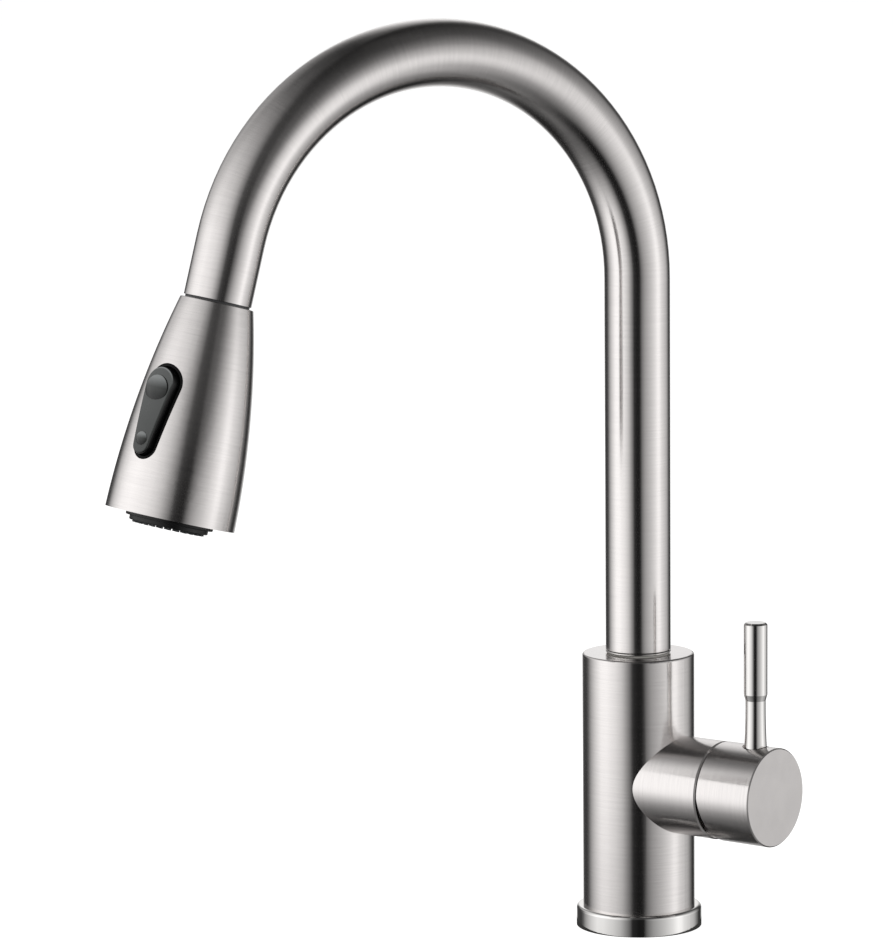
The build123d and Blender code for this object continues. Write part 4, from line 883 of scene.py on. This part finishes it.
# ---------------------------------------------------------------- studio
@dataclass(frozen=True)
class SoftLamp:
    """Square soft lamp that looks at the tap and that no reflection shows."""

    name: str
    place: tuple[float, float, float]
    size: float                 # side of its cloth
    power: float                # watts
    looks_at: tuple[float, float, float] = (0.0, -0.1, 0.15)

    def hang(self) -> None:
        """Hang the lamp."""
        data = bpy.data.lights.new(self.name, "AREA")
        data.size = self.size
        data.energy = self.power
        lamp = bpy.data.objects.new(self.name, data)
        bpy.context.scene.collection.objects.link(lamp)
        lamp.location = self.place
        sight = Vector(self.looks_at) - Vector(self.place)
        lamp.rotation_euler = sight.to_track_quat("-Z", "Y").to_euler()
        lamp.visible_glossy = False
        lamp.visible_camera = False


@dataclass
class Studio:
    """Camera, soft lamps, pale floor, and a light tent that only reflections meet."""

    camera_at: Vector = field(default_factory=lambda: Vector((1.1396, -1.5924, 0.4636)))
    camera_forward: Vector = field(default_factory=lambda: Vector((-0.6098, 0.7810, -0.1345)))
    camera_roll: float = radians(-0.495)
    lens: float = 176.07
    lamps: tuple[SoftLamp, ...] = (
        SoftLamp("KeyLamp", (-0.9, -1.2, 3.0), 1.2, 60.0),
        SoftLamp("FillLamp", (2.6, -0.6, 1.8), 1.8, 24.0),
    )
    world_light: float = 0.18       # strength of the white all round, as light on the tap
    # The tent's front and left walls hang close to the tap, its right and back walls far away.
    tent_r: float = 1.97
    tent_at: Vector = field(default_factory=lambda: Vector((0.231, 1.395, 0.15)))
    tent_stretch: float = 2.0       # upwards
    flag_r: float = 40.0 * MM
    flag_z: float = -3.0 * MM
    flag_level: float = 0.04
    floor_size: float = 30.0
    floor_colour: str = "#adacab"
    floor_front: float = -0.24      # where the worktop ends
    floor_drop: float = 0.4
    floor_lift: float = 0.93        # glow that brings it to white where nothing shades it
    # Level of the tent's cloth by the angle from the camera's side, in degrees to its right.
    # The gaps between the bright walls are black flags, which give metal its dark bands.
    walls: tuple[tuple[float, float], ...] = (
        (-180, 0.90), (-172, 0.85), (-165, 0.50), (-157, 0.06), (-134, 0.05), (-125, 0.13), (-113, 0.46),
        (-98, 0.85), (-82, 1.22), (-68, 1.25), (-48, 1.02), (-34, 0.74), (-24, 0.40), (-17, 0.20),
        (-12, 0.03), (0, 0.012), (9, 0.016), (15, 0.19), (20, 0.30), (26, 0.43), (49, 0.72), (64, 0.96),
        (77, 1.24), (85, 1.18), (92, 0.96), (106, 0.76), (122, 0.54), (134, 0.22), (145, 0.03), (157, 0.06),
        (166, 0.45), (180, 0.90),
    )
    # The same for the upper part of the walls, which takes over from upper_from to upper_full degrees
    # above the horizon.
    upper_walls: tuple[tuple[float, float], ...] = (
        (-180, 1.00), (-172, 1.05), (-165, 0.70), (-157, 0.28), (-142, 0.34), (-127, 0.56), (-113, 0.66),
        (-98, 0.88), (-82, 1.15), (-68, 1.22), (-48, 1.02), (-34, 0.72), (-24, 0.38), (-17, 0.19),
        (-12, 0.04), (0, 0.02), (9, 0.02), (15, 0.11), (20, 0.17), (26, 0.22), (37, 0.40), (49, 0.68),
        (64, 1.02), (77, 1.22), (92, 0.92), (106, 0.76), (122, 0.60), (134, 0.40), (145, 0.10),
        (157, 0.06), (166, 0.25), (180, 1.00),
    )
    upper_from: float = 2.0
    upper_full: float = 18.0
    # The share of those levels by the angle above the horizon, in degrees, on the left and on the right.
    left_heights: tuple[tuple[float, float], ...] = (
        (-90, 0.03), (-70, 0.04), (-61, 0.06), (-50, 0.13), (-40, 0.27), (-30, 0.54), (-24, 0.74),
        (-18, 0.92), (-10, 1.0), (18, 1.0), (28, 0.84), (39, 0.58), (50, 0.31), (63, 0.09), (77, 0.03),
        (90, 0.01),
    )
    right_heights: tuple[tuple[float, float], ...] = (
        (-90, 0.06), (-80, 0.09), (-67, 0.13), (-55, 0.22), (-43, 0.38), (-31, 0.52), (-24, 0.68),
        (-16, 0.86), (-8, 0.97), (-2, 0.98), (4, 0.90), (12, 0.72), (22, 0.50), (34, 0.22), (45, 0.10),
        (55, 0.04), (90, 0.01),
    )
    right_from: float = 0.1         # sine of the turn to the right at which the right's heights begin
    right_full: float = 0.4
    # What the ceiling and the worktop add on every side, by the same angle.
    ceiling: tuple[tuple[float, float], ...] = (
        (-90, 0.11), (-75, 0.10), (-62, 0.045), (-50, 0.015), (-40, 0.0), (10, 0.0), (24, 0.035),
        (35, 0.05), (50, 0.04), (65, 0.025), (90, 0.015),
    )
    peak: float = 1.4               # level that the ramps' white stands for

    def build(self) -> None:
        """Set up everything round the tap."""
        self.place_camera()
        self.hang_tent()
        self.lay_flag()
        self.lay_floor()
        self.light_world()
        for lamp in self.lamps:
            lamp.hang()
        bpy.context.scene.view_settings.view_transform = "Standard"

    def place_camera(self) -> None:
        """Put the camera in front of the tap, to its right and a little above its arch."""
        data = bpy.data.cameras.new("Camera")
        data.lens = self.lens
        data.sensor_width = 36.0
        data.clip_start = 0.05
        data.clip_end = 100.0
        camera = bpy.data.objects.new("Camera", data)
        bpy.context.scene.collection.objects.link(camera)
        forward = self.camera_forward.normalized()
        level = forward.cross(UP).normalized()
        above = level.cross(forward)
        right = level * cos(self.camera_roll) + above * sin(self.camera_roll)
        top = above * cos(self.camera_roll) - level * sin(self.camera_roll)
        turn = Matrix((right, top, -forward)).transposed().to_4x4()
        camera.matrix_world = Matrix.Translation(self.camera_at) @ turn
        bpy.context.scene.camera = camera

    def stage_material(self, name: str) -> tuple[Material, NodeTree]:
        """Start a material whose glow isn't aimed at as a lamp's is.

        Args:
            name: its name.

        Returns:
            The material, and its node tree with nothing in it.
        """
        material, tree = new_material(name)
        material.cycles.emission_sampling = "NONE"
        return material, tree

    def keep_to_reflections(self, thing: Object) -> None:
        """Leave a stage object out of all but reflections."""
        thing.visible_camera = False
        thing.visible_diffuse = False
        thing.visible_transmission = False
        thing.visible_shadow = False

    def hang_tent(self) -> None:
        """Hang a big ball of cloth round the tap, for reflections alone."""
        material, tree = self.stage_material("TentCloth")
        level = self.cloth_level(tree)
        cloth = add_node(tree, "ShaderNodeEmission", inputs={"Strength": level})
        close_material(tree, cloth.outputs[0])
        mesh = bmesh.new()
        shape = Matrix.Translation(self.tent_at) @ Matrix.Diagonal((1.0, 1.0, self.tent_stretch, 1.0))
        bmesh.ops.create_uvsphere(mesh, u_segments=96, v_segments=48, radius=self.tent_r, matrix=shape)
        self.keep_to_reflections(new_object("Tent", mesh, material))

    def cloth_level(self, tree: NodeTree) -> NodeSocket:
        """Work out the tent's level: the walls' by the turn, times the heights', plus the ceiling's.

        Args:
            tree: the cloth's nodes.

        Returns:
            Socket of the level.
        """
        place = add_node(tree, "ShaderNodeTexCoord").outputs["Object"]
        parts = add_node(tree, "ShaderNodeSeparateXYZ", inputs={0: place})
        camera_turn = atan2(self.camera_at.x, -self.camera_at.y)
        back = add_node(tree, MATH, {"operation": "MULTIPLY"}, {0: parts.outputs["Y"], 1: -1.0})
        turn = add_node(tree, MATH, {"operation": "ARCTAN2"}, {0: parts.outputs["X"], 1: back.outputs[0]})
        share = add_node(tree, MATH, {"operation": "MULTIPLY_ADD"},
                         {0: turn.outputs[0], 1: 1 / (2 * pi), 2: 0.5 - camera_turn / (2 * pi) + 1.0})
        round_share = add_node(tree, MATH, {"operation": "FRACT"}, {0: share.outputs[0]}).outputs[0]

        level_part = add_node(tree, VECTOR_MATH, {"operation": "MULTIPLY"}, {0: place, 1: (1.0, 1.0, 0.0)})
        away = add_node(tree, VECTOR_MATH, {"operation": "LENGTH"}, {0: level_part.outputs[0]})
        above = add_node(tree, MATH, {"operation": "SUBTRACT"}, {0: parts.outputs["Z"], 1: self.tent_at.z})
        rise = add_node(tree, MATH, {"operation": "ARCTAN2"},
                        {0: above.outputs[0], 1: away.outputs["Value"]})
        up_share = add_node(tree, MATH, {"operation": "MULTIPLY_ADD"},
                            {0: rise.outputs[0], 1: 1 / pi, 2: 0.5}).outputs[0]
        rightward = (cos(camera_turn), sin(camera_turn), 0.0)
        across = add_node(tree, VECTOR_MATH, {"operation": "DOT_PRODUCT"}, {0: place, 1: rightward})
        sine = add_node(tree, MATH, {"operation": "DIVIDE"},
                        {0: across.outputs["Value"], 1: away.outputs["Value"]})

        side = add_node(tree, MAP_RANGE, inputs={
            "Value": sine.outputs[0], "From Min": self.right_from, "From Max": self.right_full})
        heights = add_node(tree, MIX, inputs={
            "Factor": side.outputs["Result"], "A": self.cloth_ramp(tree, up_share, self.left_heights),
            "B": self.cloth_ramp(tree, up_share, self.right_heights)})
        upper = add_node(tree, MAP_RANGE, {"interpolation_type": "SMOOTHSTEP"}, {
            "Value": up_share, "From Min": 0.5 + self.upper_from / 180,
            "From Max": 0.5 + self.upper_full / 180})
        walls = add_node(tree, MIX, inputs={
            "Factor": upper.outputs["Result"], "A": self.cloth_ramp(tree, round_share, self.walls, self.peak),
            "B": self.cloth_ramp(tree, round_share, self.upper_walls, self.peak)})
        ceiling = self.cloth_ramp(tree, up_share, self.ceiling, self.peak)
        level = add_node(tree, MATH, {"operation": "MULTIPLY_ADD"},
                         {0: walls.outputs["Result"], 1: heights.outputs["Result"], 2: ceiling})
        level = add_node(tree, MATH, {"operation": "MULTIPLY"}, {0: level.outputs[0], 1: self.peak})
        return level.outputs[0]

    def cloth_ramp(self, tree: NodeTree, share: NodeSocket, stops: tuple[tuple[float, float], ...],
                   peak: float = 1.0) -> NodeSocket:
        """Turn an angle into a level of the cloth.

        Args:
            tree: the cloth's nodes.
            share: socket of the angle, from 0 at the first stop to 1 at the last.
            stops: angles in degrees, each with its level.
            peak: level that the ramp's white stands for.

        Returns:
            Socket of the level over peak.
        """
        first, last = stops[0][0], stops[-1][0]
        ramp = add_node(tree, "ShaderNodeValToRGB", inputs={"Fac": share})
        set_ramp(ramp, [((angle - first) / (last - first), level / peak) for angle, level in stops])
        return ramp.outputs[0]

    def lay_flag(self) -> None:
        """Lay a dark disc under the tap's foot for reflections, which would see past the floor."""
        material, tree = self.stage_material("DarkFlag")
        felt = add_node(tree, "ShaderNodeEmission", inputs={"Strength": self.flag_level})
        close_material(tree, felt.outputs[0])
        mesh = bmesh.new()
        bmesh.ops.create_circle(mesh, cap_ends=True, segments=48, radius=self.flag_r,
                                matrix=Matrix.Translation((0.0, 0.0, self.flag_z)))
        self.keep_to_reflections(new_object("Flag", mesh, material))

    def lay_floor(self) -> None:
        """Lay a pale worktop: lit by the lamps, lifted to white where nothing shades it.

        It drops off in front of the tap, as at a sink, so that a pulled-out head hangs in sight.
        """
        material, tree = self.stage_material("PaleFloor")
        lift = add_node(tree, MATH, {"operation": "MULTIPLY"}, {0: seen_rays(tree), 1: self.floor_lift})
        top_coat = add_node(tree, "ShaderNodeBsdfDiffuse", inputs={"Color": linear(self.floor_colour)})
        glow = add_node(tree, "ShaderNodeEmission", inputs={"Strength": lift.outputs[0]})
        both = add_node(tree, "ShaderNodeAddShader", inputs={0: top_coat.outputs[0], 1: glow.outputs[0]})
        close_material(tree, both.outputs[0])
        mesh = bmesh.new()
        bmesh.ops.create_grid(mesh, x_segments=1, y_segments=1, size=self.floor_size)
        bmesh.ops.bisect_plane(mesh, geom=mesh.verts[:] + mesh.edges[:] + mesh.faces[:], clear_outer=True,
                               plane_co=(0.0, self.floor_front, 0.0), plane_no=(0.0, -1.0, 0.0))
        edge = [e for e in mesh.edges if all(v.co.y < self.floor_front + MM for v in e.verts)]
        wall = bmesh.ops.extrude_edge_only(mesh, edges=edge)["geom"]
        bmesh.ops.translate(mesh, verts=[part for part in wall if isinstance(part, BMVert)],
                            vec=(0.0, 0.0, -self.floor_drop))
        floor = new_object("Floor", mesh, material)
        floor.visible_glossy = False

    def light_world(self) -> None:
        """White all round: full strength to the eye and in reflections, softer as light."""
        world = bpy.data.worlds.new("Studio")
        bpy.context.scene.world = world
        world.use_nodes = True
        tree = world.node_tree
        tree.nodes.clear()
        strength = add_node(tree, MAP_RANGE, inputs={
            "Value": seen_rays(tree), "To Min": self.world_light, "To Max": 1.0})
        sky = add_node(tree, "ShaderNodeBackground", inputs={
            "Color": linear("#ffffff"), "Strength": strength.outputs["Result"]})
        add_node(tree, "ShaderNodeOutputWorld", inputs={"Surface": sky.outputs[0]})


def main() -> None:
    """Build the tap's pieces in order, then the studio."""
    logging.basicConfig(level=logging.INFO, format="%(message)s")
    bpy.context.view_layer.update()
    finishes = Finishes()
    Base(finishes).dress()
    Handle(finishes).dress()
    Spout(finishes).dress()
    Hose(finishes).build()
    SprayHead(finishes).dress()
    Studio().build()


if __name__ == "__main__":
    main()
